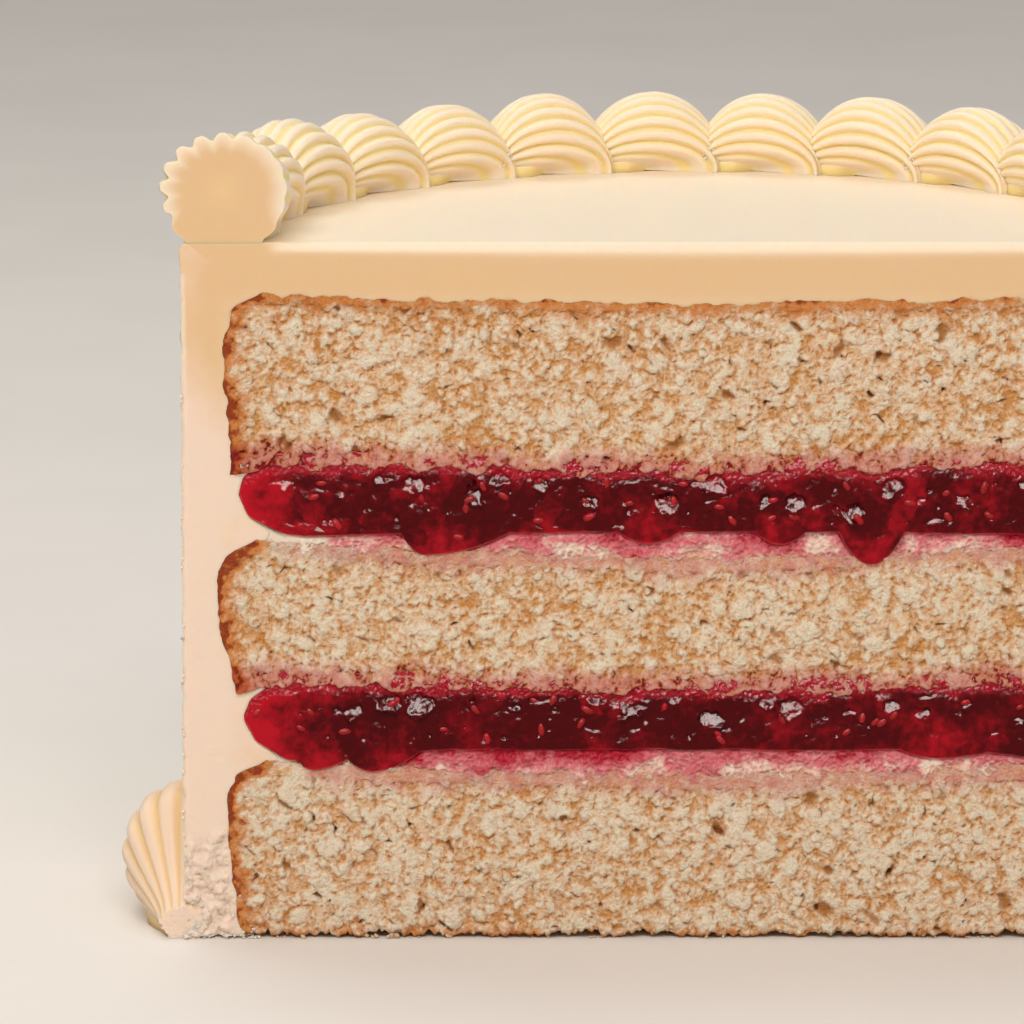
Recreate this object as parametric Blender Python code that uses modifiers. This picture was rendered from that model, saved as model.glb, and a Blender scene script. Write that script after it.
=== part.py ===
"""Half of a round three-layer sponge cake, with jam, buttercream and piped shell borders.

The cut face looks along -Y and the round side along +Y. Sizes below are in millimetres, and
heights are measured from the surface that the cake stands on.
"""
import math
import random

import bmesh
import bpy
from mathutils import Vector

MM = 0.001
GAP = 0.3
MERGE_DISTANCE = 1e-6

# The round cake before it was cut, and the direction in which its cut ends on the left
TURN_STEPS = 64
CUT_ANGLE = 180.0
ICED_RADIUS = 81.5
ICED_FOOT_RADIUS = 82.2
ICED_HEIGHT = 113.4
ICED_EDGE = 1.2

# Heights where one layer meets the next, at the middle of the cake and near its side
SPONGE_BOTTOM_TOP = 25.6
SPONGE_BOTTOM_RIM = 28.0
JAM_LOWER_BASE = 31.2
JAM_LOWER_TOP = 41.2
JAM_LOWER_RIM = 42.2
SPONGE_MIDDLE_TOP = 61.1
SPONGE_MIDDLE_RIM = 64.2
JAM_UPPER_BASE = 66.8
JAM_UPPER_TOP = 76.6
JAM_UPPER_RIM = 78.0
SPONGE_TOP_TOP = 103.1
SPONGE_TOP_RIM = 104.7

# A sponge's outline: radius at its foot and where its side bulges, and its round shoulder
DISH_TURN = 46.0
BOTTOM_RADII = (72.4, 73.9)
MIDDLE_RADII = (72.9, 75.2)
TOP_RADII = (72.9, 74.0)
BULGE_LEVEL = 0.45
SHOULDER_HEIGHT = 6.5
SHOULDER_WIDTH = 5.5
SHOULDER_CORNER = (1.3, 2.0)
DISH_SHARE = 0.5

# The jam's round sides as (radius, height), from their top down to where the foot levels out
JAM_LOWER_SIDE = (
    (67.5, JAM_LOWER_RIM), (71.2, 39.6), (72.4, 36.6), (70.4, 32.8), (66.0, 29.9), (62.5, 29.2),
    (52.0, 29.9), (42.0, JAM_LOWER_BASE))
JAM_UPPER_SIDE = (
    (69.0, JAM_UPPER_RIM), (72.0, 75.8), (72.8, 73.0), (71.2, 69.4), (67.0, 66.9), (61.5, 66.0),
    (48.0, 66.5))

# The thin cream below a jam, its thin rim, and how far the icing reaches in beyond it
CREAM_LOWER_RADIUS = 65.0
CREAM_UPPER_RADIUS = 66.2
CREAM_TIP = 1.0
ICING_REACH = 3.0

# How far soft jam stands out of the cut, and the drips that run down from it:
# place across the cut, height of the lowest point, width
JAM_PROUD = 0.8
DRIP_PROUD = 1.5
DRIP_DEPTH = 6.0
DRIP_ROOT = 2.5
DRIP_SEGMENTS = 10
DRIP_RINGS = 7
UPPER_DRIPS = ((-42.4, 62.8, 12.0), (-6.7, 64.4, 10.0), (27.4, 61.3, 11.5))
LOWER_DRIPS = ((-60.0, 27.4, 10.0), (-50.5, 27.2, 9.0))

# Piped shells: ridges made by a star tip, and the lengths, heights and widths of one shell
TIP_RIDGES = 16
RIDGE_DEPTH = 0.11
SHELL_OVERLAP = 0.62
SHELL_FOOT = 0.74
SHELL_WAIST = 0.64
SHELL_STATIONS = 6
SHELL_FIRST_ANGLE = -6.0
SHELL_SWEEP = 102.0
SHELL_OPEN_STEPS = 3
SHELL_FLATNESS = 5
PIVOT_BEHIND = 0.5
RIDGE_EDGE_ANGLE = 50.0
UNEVENNESS = 0.04
TOP_BORDER_SEED = 4
BASE_BORDER_SEED = 9

TOP_BORDER_RADIUS = 74.6
TOP_BORDER_PITCH = 14.3
TOP_BORDER_FIRST = 172.8
TOP_SHELL_HEIGHT = 12.5
TOP_SHELL_WIDTH = 15.4
TOP_SHELL_COUNT = 13
FIRST_SHELL_SWELL = 0.46
SWELL_FADES_OVER = 1.3

BASE_BORDER_RADIUS = 82.0
BASE_BORDER_PITCH = 22.5
BASE_SHELL_HEIGHT = 22.5
BASE_SHELL_WIDTH = 26.0
BASE_SHELL_COUNT = 8
BASE_TAPER = 0.42
TAPER_START = 0.62

# Finishes: a colour as red, green and blue from 0 to 255, and how rough it is
DISPLAY_GAMMA = 2.2
SPONGE_FINISH = ((216, 172, 128), 0.9)
JAM_FINISH = ((104, 14, 14), 0.15)
CREAM_FINISH = ((226, 160, 148), 0.5)
ICING_FINISH = ((246, 226, 196), 0.5)
SHELL_FINISH = ((248, 229, 192), 0.45)


def collection(name):
    """A new collection in the scene."""
    group = bpy.data.collections.new(name)
    bpy.context.scene.collection.children.link(group)
    return group


def material(name, colour, roughness):
    """A plain Principled material of an 8-bit colour."""
    linear = [(channel / 255.0) ** DISPLAY_GAMMA for channel in colour]
    made = bpy.data.materials.new(name)
    made.use_nodes = True
    shader = made.node_tree.nodes["Principled BSDF"]
    shader.inputs["Base Color"].default_value = (*linear, 1.0)
    shader.inputs["Roughness"].default_value = roughness
    shader.inputs["Metallic"].default_value = 0.0
    return made


def new_object(name, mesh, group, finish=None):
    """An object for the mesh, with a material of its own where it has a finish."""
    made = bpy.data.objects.new(name, mesh)
    group.objects.link(made)
    if finish:
        mesh.materials.append(material(name, *finish))
    return made


def hide_cutter(cutter):
    """Show a cutting shape as wire only."""
    cutter.hide_render = True
    cutter.display_type = "WIRE"
    return cutter


def turned(name, profile, group, finish=None):
    """A solid turned from a profile of (radius, height) that runs down its outer side."""
    mesh = bpy.data.meshes.new(name)
    half_step = math.pi / TURN_STEPS
    points = []
    for radius, height in profile:
        across = radius * MM * math.cos(half_step)
        away = radius * MM * math.sin(half_step)
        points.append((across, away, height * MM))
    edges = [(i, i + 1) for i in range(len(points) - 1)]
    mesh.from_pydata(points, edges, [])
    made = new_object(name, mesh, group, finish)
    screw = made.modifiers.new("turn", "SCREW")
    screw.axis = "Z"
    screw.angle = math.tau
    screw.steps = TURN_STEPS
    screw.render_steps = TURN_STEPS
    screw.use_merge_vertices = True
    screw.merge_threshold = MERGE_DISTANCE
    screw.use_smooth_shade = True
    return made


def subtract(target, cutter):
    """Cut one solid out of another."""
    cut = target.modifiers.new("cut by " + cutter.name, "BOOLEAN")
    cut.operation = "DIFFERENCE"
    cut.solver = "EXACT"
    cut.object = cutter


def knife(name, proud, group):
    """A block that takes away the front half of the cake, up to `proud` before its axis."""
    side = 4 * ICED_RADIUS
    mesh = bpy.data.meshes.new(name)
    bm = bmesh.new()
    bmesh.ops.create_cube(bm, size=side * MM)
    move = Vector((0.0, -(side / 2 + proud) * MM, ICED_HEIGHT / 2 * MM))
    bmesh.ops.translate(bm, verts=bm.verts, vec=move)
    bm.to_mesh(mesh)
    bm.free()
    return hide_cutter(new_object(name, mesh, group))


def drip(name, place, lowest, width, top, grow, group):
    """A drop of jam that hangs over the cut, `grow` larger all round."""
    centre_height = (lowest + top) / 2
    radii = (width / 2 + grow, DRIP_DEPTH / 2 + grow, (top - lowest) / 2 + grow)
    centre = Vector((place, DRIP_DEPTH / 2 - DRIP_PROUD, centre_height))
    mesh = bpy.data.meshes.new(name)
    bm = bmesh.new()
    bmesh.ops.create_uvsphere(
        bm, u_segments=DRIP_SEGMENTS, v_segments=DRIP_RINGS, radius=1.0)
    bmesh.ops.scale(bm, vec=Vector(radii) * MM, verts=bm.verts)
    bmesh.ops.translate(bm, vec=centre * MM, verts=bm.verts)
    bm.to_mesh(mesh)
    bm.free()
    return new_object(name, mesh, group)


def apply_modifiers(target):
    """Keep the shape that the modifiers give and drop the modifiers."""
    graph = bpy.context.evaluated_depsgraph_get()
    mesh = bpy.data.meshes.new_from_object(target.evaluated_get(graph))
    target.modifiers.clear()
    target.data = mesh
    mesh.name = target.name


def join_drips(jam, drips, jam_top, below, cutters):
    """Fuse the drips with their jam, and make room for them in the pieces below it."""
    loose = collection(jam.name + " drips")
    for number, (place, lowest, width) in enumerate(drips, start=1):
        name = f"{jam.name}_drip_{number}"
        drip(name, place, lowest, width, jam_top, 0.0, loose)
        seat = hide_cutter(drip(name + "_seat", place, lowest, width, jam_top, GAP, cutters))
        for piece in below:
            subtract(piece, seat)
    union = jam.modifiers.new("drips", "BOOLEAN")
    union.operation = "UNION"
    union.solver = "EXACT"
    union.operand_type = "COLLECTION"
    union.collection = loose
    apply_modifiers(jam)
    for piece in list(loose.objects):
        bpy.data.objects.remove(piece, do_unlink=True)
    bpy.data.collections.remove(loose)


def sponge_profile(base, foot, radii, rim, middle):
    """A sponge's outline: dished top, round shoulder, bulging side, and its foot.

    `base` is the height of the foot at the side and `foot` its height at the middle.
    """
    foot_radius, side = radii
    return [
        (0.0, middle),
        (DISH_TURN, middle + DISH_SHARE * (rim - middle)),
        (side - SHOULDER_WIDTH, rim),
        (side - SHOULDER_CORNER[0], rim - SHOULDER_CORNER[1]),
        (side, rim - SHOULDER_HEIGHT),
        (side, base + BULGE_LEVEL * (rim - base)),
        (foot_radius, base),
        (DISH_TURN, base),
        (0.0, foot),
    ]


def side_of(profile):
    """The side of a layer from its foot up to its shoulder."""
    return [corner for corner in profile[::-1] if corner[0] > DISH_TURN]


def jam_profile(side, base, top, rim):
    """A jam's outline: dished top, round side, and a foot that sags near the side."""
    return [(0.0, top), (DISH_TURN, rim), *side, (0.0, base)]


def cream_profile(sponge, jam_side, jam_base, radius):
    """The cream between a sponge's dished top and the jam over it."""
    dish, shoulder = sponge[1], sponge[2]
    covered = [corner for corner in jam_side[::-1] if corner[0] < radius - CREAM_TIP]
    return [
        (0.0, jam_base - GAP),
        *[(corner[0], corner[1] - GAP) for corner in covered],
        (radius, shoulder[1] + GAP),
        (DISH_TURN, dish[1] + GAP),
        (0.0, sponge[0][1] + GAP),
    ]


def grown(line, gap):
    """A line of (radius, height) corners that runs upwards, moved outwards by a gap."""
    corners = [Vector(corner) for corner in line]
    moved = []
    for number, corner in enumerate(corners):
        before = (corner - corners[number - 1]).normalized() if number else None
        after = (corners[number + 1] - corner).normalized() if number + 1 < len(line) else None
        before = before or after
        after = after or before
        outwards = Vector((before.y, -before.x)) + Vector((after.y, -after.x))
        moved.append(tuple(corner + outwards * gap / (1 + before.dot(after))))
    return moved


def icing_profile(sponges, jam_sides):
    """The coat: its own top and side, and a hollow that follows the sides of the layers."""
    stack = []
    for sponge, jam_side in zip(sponges, (*jam_sides, ())):
        stack += side_of(sponge)
        reach = stack[-1][0] - ICING_REACH
        stack += [corner for corner in jam_side[::-1] if corner[0] > reach]
    hollow = grown(stack + [sponges[-1][1], sponges[-1][0]], GAP)
    hollow[0] = (hollow[0][0], 0.0)
    hollow[-1] = (0.0, hollow[-1][1])
    return [
        (0.0, ICED_HEIGHT),
        (ICED_RADIUS - ICED_EDGE, ICED_HEIGHT),
        (ICED_RADIUS, ICED_HEIGHT - ICED_EDGE),
        (ICED_FOOT_RADIUS, 0.0),
        *hollow,
    ]


def make_layers(cake, cutters):
    """The sponges, the jam, the thin cream under the jam, and the icing round them all."""
    bottom = sponge_profile(0.0, 0.0, BOTTOM_RADII, SPONGE_BOTTOM_RIM, SPONGE_BOTTOM_TOP)
    middle = sponge_profile(
        JAM_LOWER_RIM + GAP, JAM_LOWER_TOP + GAP, MIDDLE_RADII, SPONGE_MIDDLE_RIM,
        SPONGE_MIDDLE_TOP)
    top = sponge_profile(
        JAM_UPPER_RIM + GAP, JAM_UPPER_TOP + GAP, TOP_RADII, SPONGE_TOP_RIM, SPONGE_TOP_TOP)
    jam_lower = jam_profile(JAM_LOWER_SIDE, JAM_LOWER_BASE, JAM_LOWER_TOP, JAM_LOWER_RIM)
    jam_upper = jam_profile(JAM_UPPER_SIDE, JAM_UPPER_BASE, JAM_UPPER_TOP, JAM_UPPER_RIM)
    cream_lower = cream_profile(bottom, JAM_LOWER_SIDE, JAM_LOWER_BASE, CREAM_LOWER_RADIUS)
    cream_upper = cream_profile(middle, JAM_UPPER_SIDE, JAM_UPPER_BASE, CREAM_UPPER_RADIUS)
    icing = icing_profile((bottom, middle, top), (JAM_LOWER_SIDE, JAM_UPPER_SIDE))

    layers = {}
    for name, profile, finish in (
            ("sponge_bottom", bottom, SPONGE_FINISH),
            ("cream_lower", cream_lower, CREAM_FINISH),
            ("jam_lower", jam_lower, JAM_FINISH),
            ("sponge_middle", middle, SPONGE_FINISH),
            ("cream_upper", cream_upper, CREAM_FINISH),
            ("jam_upper", jam_upper, JAM_FINISH),
            ("sponge_top", top, SPONGE_FINISH),
            ("icing", icing, ICING_FINISH)):
        layers[name] = turned(name, profile, cake, finish)

    clean_cut = knife("knife", 0.0, cutters)
    jam_cut = knife("knife_before_jam", JAM_PROUD, cutters)
    for name, layer in layers.items():
        subtract(layer, jam_cut if name.startswith("jam") else clean_cut)
    join_drips(layers["jam_upper"], UPPER_DRIPS, JAM_UPPER_TOP - DRIP_ROOT,
               (layers["cream_upper"], layers["sponge_middle"]), cutters)
    join_drips(layers["jam_lower"], LOWER_DRIPS, JAM_LOWER_TOP - DRIP_ROOT,
               (layers["cream_lower"], layers["sponge_bottom"]), cutters)


def crest_distance(angle, pivot, length, height):
    """How far a shell's crest is from its pivot, seen at an angle above the piping line.

    The crest is half an ellipse, higher than long, and the pivot is the point at the
    shell's tail that every ridge bends round.
    """
    along = math.cos(angle)
    up = math.sin(angle)
    semi = SHELL_OVERLAP * length
    offset = pivot - length / 2
    a = (along / semi) ** 2 + (up / height) ** 2
    b = -2.0 * offset * along / semi ** 2
    c = (offset / semi) ** 2 - 1.0
    return (-b + math.sqrt(b * b - 4 * a * c)) / (2 * a)


def shell_rings(length, height, width, taper):
    """Rings of (along, out, up) points, one for each station from the head to the tail.

    Seen from above, each ridge arches from the head to the pivot, and the low ones run
    almost beside each other. Below its widest ridges a shell narrows to its waist. `taper`
    is the share of its size that the shell has left at its tail.
    """
    pivot = length + PIVOT_BEHIND
    last_step = TIP_RIDGES - SHELL_OPEN_STEPS
    rings = []
    for station in range(SHELL_STATIONS):
        angle = math.radians(SHELL_FIRST_ANGLE + SHELL_SWEEP * station / (SHELL_STATIONS - 1))
        crest = crest_distance(angle, pivot, length, height)
        belly = SHELL_FOOT + (1 - SHELL_FOOT) * math.sin(2 * max(angle, 0.0)) ** 2
        ring = []
        for step in range(-last_step, last_step + 1):
            turn = math.pi * step / TIP_RIDGES
            ridge = 1.0 if step % 2 == 0 else 1.0 - 2 * RIDGE_DEPTH
            rise = (1 + ridge * math.cos(turn)) / 2
            reach = 1 - (1 - (1 + math.cos(turn)) / 2) ** SHELL_FLATNESS
            along = pivot - crest * reach * math.cos(angle)
            narrowed = min(max((along / length - TAPER_START) / (1 - TAPER_START), 0.0), 1.0)
            size = 1 - (1 - taper) * narrowed ** 2 * (3 - 2 * narrowed)
            waist = SHELL_WAIST if math.cos(turn) < 0 else 0.0
            beside = math.copysign(max(abs(math.sin(turn)), waist), turn)
            out = width / 2 * belly * ridge * beside * size
            ring.append((along, out, crest * rise * math.sin(angle) * size))
        rings.append(ring)
    return rings, (pivot, 0.0, 0.0)


def slice_shell(bm, place, normal):
    """Cut a shell with a plane, drop what the normal points at, and close the cut."""
    geometry = list(bm.verts) + list(bm.edges) + list(bm.faces)
    cut = bmesh.ops.bisect_plane(
        bm, geom=geometry, plane_co=place, plane_no=normal, clear_outer=True, dist=1e-5)
    rim = [item for item in cut["geom_cut"] if isinstance(item, bmesh.types.BMEdge)]
    if rim:
        bmesh.ops.holes_fill(bm, edges=rim)


def shell(name, size, sector, ring_radius, floor, group, taper=1.0):
    """One piped shell, bent round the cake between two directions seen from its middle."""
    height, width = size
    head, tail = sector
    length = math.radians(tail - head) * ring_radius
    rings, pole = shell_rings(length, height, width, taper)
    bm = bmesh.new()
    grid = [[bm.verts.new(point) for point in ring] for ring in rings]
    pivot = bm.verts.new(pole)
    for ring, after in zip(grid, grid[1:]):
        for i in range(len(ring) - 1):
            bm.faces.new((ring[i], ring[i + 1], after[i + 1], after[i]))
        bm.faces.new((pivot, ring[0], after[0]))
        bm.faces.new((ring[-1], pivot, after[-1]))
    bm.faces.new([pivot] + grid[0][::-1])
    bm.faces.new(grid[-1] + [pivot])

    last = math.radians(min(tail, CUT_ANGLE) - head) * ring_radius - GAP / 2
    slice_shell(bm, (0.0, 0.0, GAP if floor else 0.0), (0.0, 0.0, -1.0))
    slice_shell(bm, (GAP / 2, 0.0, 0.0), (-1.0, 0.0, 0.0))
    slice_shell(bm, (last, 0.0, 0.0), (1.0, 0.0, 0.0))
    for vert in bm.verts:
        along, out, up = vert.co
        angle = math.radians(head) + along / ring_radius
        radius = ring_radius + out
        vert.co = (radius * math.cos(angle) * MM, radius * math.sin(angle) * MM,
                   (floor + up) * MM)
    if bm.calc_volume(signed=True) < 0:
        bmesh.ops.reverse_faces(bm, faces=bm.faces)
    mesh = bpy.data.meshes.new(name)
    bm.to_mesh(mesh)
    bm.free()
    mesh.shade_smooth()
    mesh.set_sharp_from_angle(angle=math.radians(RIDGE_EDGE_ANGLE))
    return new_object(name, mesh, group, SHELL_FINISH)


def make_top_border(cake):
    """The shells piped round the top edge, largest where the piping began."""
    draw = random.Random(TOP_BORDER_SEED)
    head = TOP_BORDER_FIRST
    tail = head + TOP_BORDER_PITCH
    for number in range(1, TOP_SHELL_COUNT + 1):
        swell = 1 + FIRST_SHELL_SWELL * math.exp(-(number - 1) / SWELL_FADES_OVER)
        height = TOP_SHELL_HEIGHT * swell * draw.uniform(1 - UNEVENNESS, 1 + UNEVENNESS)
        width = TOP_SHELL_WIDTH * swell * draw.uniform(1 - UNEVENNESS, 1 + UNEVENNESS)
        shell(f"top_shell_{number:02d}", (height, width), (head, tail),
              TOP_BORDER_RADIUS, ICED_HEIGHT, cake)
        tail = head
        head = tail - TOP_BORDER_PITCH * draw.uniform(1 - UNEVENNESS, 1 + UNEVENNESS)
        if number == TOP_SHELL_COUNT - 1:
            head = 0.0


def make_base_border(cake, cutters):
    """The larger shells piped round the foot, cut away where the icing is behind them."""
    draw = random.Random(BASE_BORDER_SEED)
    wall = hide_cutter(turned("iced_wall", [
        (0.0, ICED_HEIGHT * 0.5),
        (ICED_RADIUS + 2 * GAP, ICED_HEIGHT * 0.5),
        (ICED_FOOT_RADIUS + GAP, -1.0),
        (0.0, -1.0),
    ], cutters))
    for number in range(1, BASE_SHELL_COUNT + 1):
        head = CUT_ANGLE - number * BASE_BORDER_PITCH
        height = BASE_SHELL_HEIGHT * draw.uniform(1 - UNEVENNESS, 1 + UNEVENNESS)
        width = BASE_SHELL_WIDTH * draw.uniform(1 - UNEVENNESS, 1 + UNEVENNESS)
        made = shell(f"base_shell_{number:02d}", (height, width),
                     (head, head + BASE_BORDER_PITCH), BASE_BORDER_RADIUS, 0.0, cake,
                     BASE_TAPER if number == 1 else 1.0)
        subtract(made, wall)


def stand_on_origin(cake, cutters):
    """Carry everything on an empty, so that the origin is the middle of the cake's foot."""
    graph = bpy.context.evaluated_depsgraph_get()
    points = []
    for piece in cake.objects:
        mesh = piece.evaluated_get(graph).to_mesh()
        points += [piece.matrix_world @ vert.co for vert in mesh.vertices]
        piece.evaluated_get(graph).to_mesh_clear()
    middle = [(min(p[i] for p in points) + max(p[i] for p in points)) / 2 for i in (0, 1)]
    carrier = bpy.data.objects.new("cake_foot", None)
    cake.objects.link(carrier)
    for piece in list(cake.objects) + list(cutters.objects):
        if piece != carrier:
            piece.parent = carrier
    carrier.location = (-middle[0], -middle[1], 0.0)


def main():
    for old in list(bpy.data.objects):
        bpy.data.objects.remove(old, do_unlink=True)
    cake = collection("jelly_doughnut_cake")
    cutters = collection("cutters")
    make_layers(cake, cutters)
    make_top_border(cake)
    make_base_border(cake, cutters)
    stand_on_origin(cake, cutters)


main()
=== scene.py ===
"""The fine surfaces of half a jam-filled layer cake, made over its solids.

Shapes are worked out in millimetres round the cake's own axis: x runs across the cut, y runs
from the cut into the cake, and z is the height above the surface that it stands on.
"""

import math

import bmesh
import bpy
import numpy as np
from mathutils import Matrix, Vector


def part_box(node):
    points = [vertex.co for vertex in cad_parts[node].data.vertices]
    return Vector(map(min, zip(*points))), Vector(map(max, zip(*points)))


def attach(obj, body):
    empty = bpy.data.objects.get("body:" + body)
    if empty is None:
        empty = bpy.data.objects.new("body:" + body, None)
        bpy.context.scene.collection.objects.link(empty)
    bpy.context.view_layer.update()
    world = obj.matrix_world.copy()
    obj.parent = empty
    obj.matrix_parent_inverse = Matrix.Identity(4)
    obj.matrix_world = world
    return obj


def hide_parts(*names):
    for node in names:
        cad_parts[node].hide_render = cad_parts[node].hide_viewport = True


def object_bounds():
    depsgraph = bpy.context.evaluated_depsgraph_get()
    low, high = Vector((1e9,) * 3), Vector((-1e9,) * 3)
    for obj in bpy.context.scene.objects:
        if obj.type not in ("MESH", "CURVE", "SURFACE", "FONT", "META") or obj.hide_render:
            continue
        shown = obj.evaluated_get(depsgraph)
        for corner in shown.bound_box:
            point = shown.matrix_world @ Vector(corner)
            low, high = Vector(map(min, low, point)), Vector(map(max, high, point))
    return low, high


bl_info = {
    "name": "Half Jam Layer Cake",
    "version": (1, 0, 0),
    "blender": (4, 5, 0),
    "location": "View3D > Sidebar > Cake",
    "description": "Makes the crumb, jam, cream, icing and piping of half a layer cake",
    "category": "Add Mesh",
}

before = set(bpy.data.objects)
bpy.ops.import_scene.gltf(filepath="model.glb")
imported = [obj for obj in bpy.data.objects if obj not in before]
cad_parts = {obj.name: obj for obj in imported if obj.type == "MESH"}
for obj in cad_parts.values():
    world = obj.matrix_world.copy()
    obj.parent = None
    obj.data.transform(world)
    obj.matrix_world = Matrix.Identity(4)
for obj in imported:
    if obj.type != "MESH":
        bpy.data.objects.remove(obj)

CAD_BOX = [list(corner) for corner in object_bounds()]

MM = 0.001
BODY = "root"

# The cake's axis, cut and height in millimetres, and how far its surfaces may stand out of
# the cut
ICING_LOW, ICING_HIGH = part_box("icing")
AXIS_X = (ICING_LOW[0] + ICING_HIGH[0]) / 2 / MM
CUT_Y = ICING_LOW[1] / MM
ICED_HEIGHT = ICING_HIGH[2] / MM
PROUD = CUT_Y - CAD_BOX[0][1] / MM - 0.02

# Layers from the foot up, and shells in their order round the cake
SPONGES = ("sponge_bottom", "sponge_middle", "sponge_top")
JAMS = ("jam_lower", "jam_upper")
CREAMS = ("cream_lower", "cream_upper")
TOP_SHELLS = sorted(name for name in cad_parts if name.startswith("top_shell"))
BASE_SHELLS = sorted(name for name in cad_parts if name.startswith("base_shell"))

# Sponges from the foot up: how brown the top and the foot are, how far the torn top stands
# above the solid's, and how much painted light lifts the crumb, most low down where lamps reach
# least
CRUSTS = ((0.0, 0.9), (0.0, 0.0), (0.75, 0.0))
TOPS_RAISED = (1.5, 1.5, 0.5)
PAINTED_LIGHT = (0.14, 0.07, 0.02)

# Large bubbles in the crumb: size as a share of the largest, distance apart, share of places
# that have one, depth and seed
LARGE_BUBBLES = ((1.0, 8.5, 0.5, 1.2, 31), (0.55, 4.6, 0.45, 0.8, 41))

# Drips that run down from each jam: place across the cut, lowest point, widths to both sides
DRIPS = {
    "jam_upper": ((-42.4, 62.9, 8.0, 26.0), (-7.5, 65.0, 10.0, 9.0), (13.0, 64.7, 8.0, 8.0),
                  (27.4, 61.4, 10.5, 10.0), (61.0, 64.0, 11.0, 12.0)),
    "jam_lower": ((-60.0, 27.9, 5.6, 10.0), (-50.5, 27.6, 9.0, 14.0), (38.0, 29.8, 12.0, 16.0)),
}

# First seeds of the patterns and draws of each layer, border and scatter
SEEDS = {
    "sponge_bottom": 400, "sponge_middle": 450, "sponge_top": 500, "jam_lower": 700,
    "jam_upper": 750, "cream_lower": 820, "cream_upper": 860, "top_border": 2000,
    "base_border": 3000, "seeds": 5, "crumbs": 8, "icing_bits": 12,
}

# Distances between the points of jam and cream, across and up
JAM_STEPS = (0.22, 0.2)
CREAM_STEP = 0.22

# How many points of a front are joined to each point of the sides behind it, and how far
# round and in how many slices those are carried back
JOINED = 4
BACK_TURN = 88.0
SLICES = 9

# Depth at which the part behind a front begins, and how much it is set in from the front's
# edge
SPONGE_BACK = (2.6, 0.6)
JAM_BACK = (3.2, 0.4)
CREAM_BACK = (2.6, 0.3)
HOLLOW_BACK = (1.6, 0.4)

# Loose crumbs lie in heaps, and grains of icing along both sides of the cut
CRUMB_HEAPS = 16
ICING_BITS = 110

# Points of the icing: along the cut's top, up the side, round the upper edge, back over the
# top and across the cut face
COLUMNS = 192
SIDE_ROWS = 92
EDGE_ROWS = 4
TOP_ROWS = 56
FACE_ROWS = 26
SIDE_STEPS = (SIDE_ROWS + EDGE_ROWS) * JOINED

# Radii that part the icing's outer corners from its inner ones, and these from those over
# the crumb
OUTER_FROM = 79.0
INNER_SIDE_FROM = 60.0

# Along the icing's inner side: the share that lies beside the upper edge, and how far corners
# are rounded; and how far the cut face goes on behind the crumb
EDGE_SHARE = 0.015
CORNER_REACH = 0.008
HIDDEN = 1.5

# How piped shells are laid: see crest_distance and shell_surface
SHELL_OVERLAP = 0.62
SHELL_FOOT = 0.74
SHELL_WAIST = 0.64
FUSED_WAIST = 0.78
SHELL_ROWS = 60
SHELL_ANGLES = (-6.0, 96.0)
SHELL_TURN = 146.0
TIP_RIDGES = 16
RIDGE_POINTS = 12
TOP_PITCH = 14.3
BASE_TAPER = 0.42
TAPER_START = 0.62
FUSED_SUNK = -2.5

# The two borders: depth of their grooves as a share of the usual, height of their lower
# edges above where they stand, place of the slice from the cut into the cake, height of the
# seam on the slice, and how torn the slice is
BORDERS = {
    "top": {"grooves": 1.0, "sunk": -0.8, "slice": -0.02, "seam": 5.0, "torn": 0.0},
    "base": {"grooves": 0.6, "sunk": 0.0, "slice": 0.15, "seam": 40.0, "torn": 1.0},
}

# The camera, in millimetres left of the cake's axis and metres above the floor, and the
# floor's size in metres
VIEW_LEFT = 29.37
VIEW_HEIGHT = 0.28828
FLOOR_SIZE = 8.0

# Lights: name, place, width and length, power and tint
LIGHTS = (
    ("key", (-0.25, 0.3, 0.95), (0.6, 0.5), 2.7, (1.0, 0.97, 0.93)),
    ("front", (-0.15, -0.8, 0.85), (0.9, 0.4), 7.4, (1.0, 0.95, 0.9)),
)
LIT_AT = (0.0, 0.0, 0.06)


def srgb(red, green, blue):
    """The scene's own values for a colour seen as red, green and blue from 0 to 255."""
    return tuple(
        channel / 255 / 12.92 if channel <= 10 else ((channel / 255 + 0.055) / 1.055) ** 2.4
        for channel in (red, green, blue))


def length(name, description, default, soft_max=0.01):
    """A property for a size in metres."""
    return bpy.props.FloatProperty(
        name=name, description=description, default=default, min=0.0, soft_max=soft_max,
        precision=4, subtype="DISTANCE", unit="LENGTH")


def share(name, description, default):
    """A property for a share from 0 to 1."""
    return bpy.props.FloatProperty(
        name=name, description=description, default=default, min=0.0, max=1.0,
        subtype="FACTOR")


def colour(name, description, default):
    """A property for a colour."""
    return bpy.props.FloatVectorProperty(
        name=name, description=description, default=default, min=0.0, max=1.0, size=3,
        subtype="COLOR")


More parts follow.
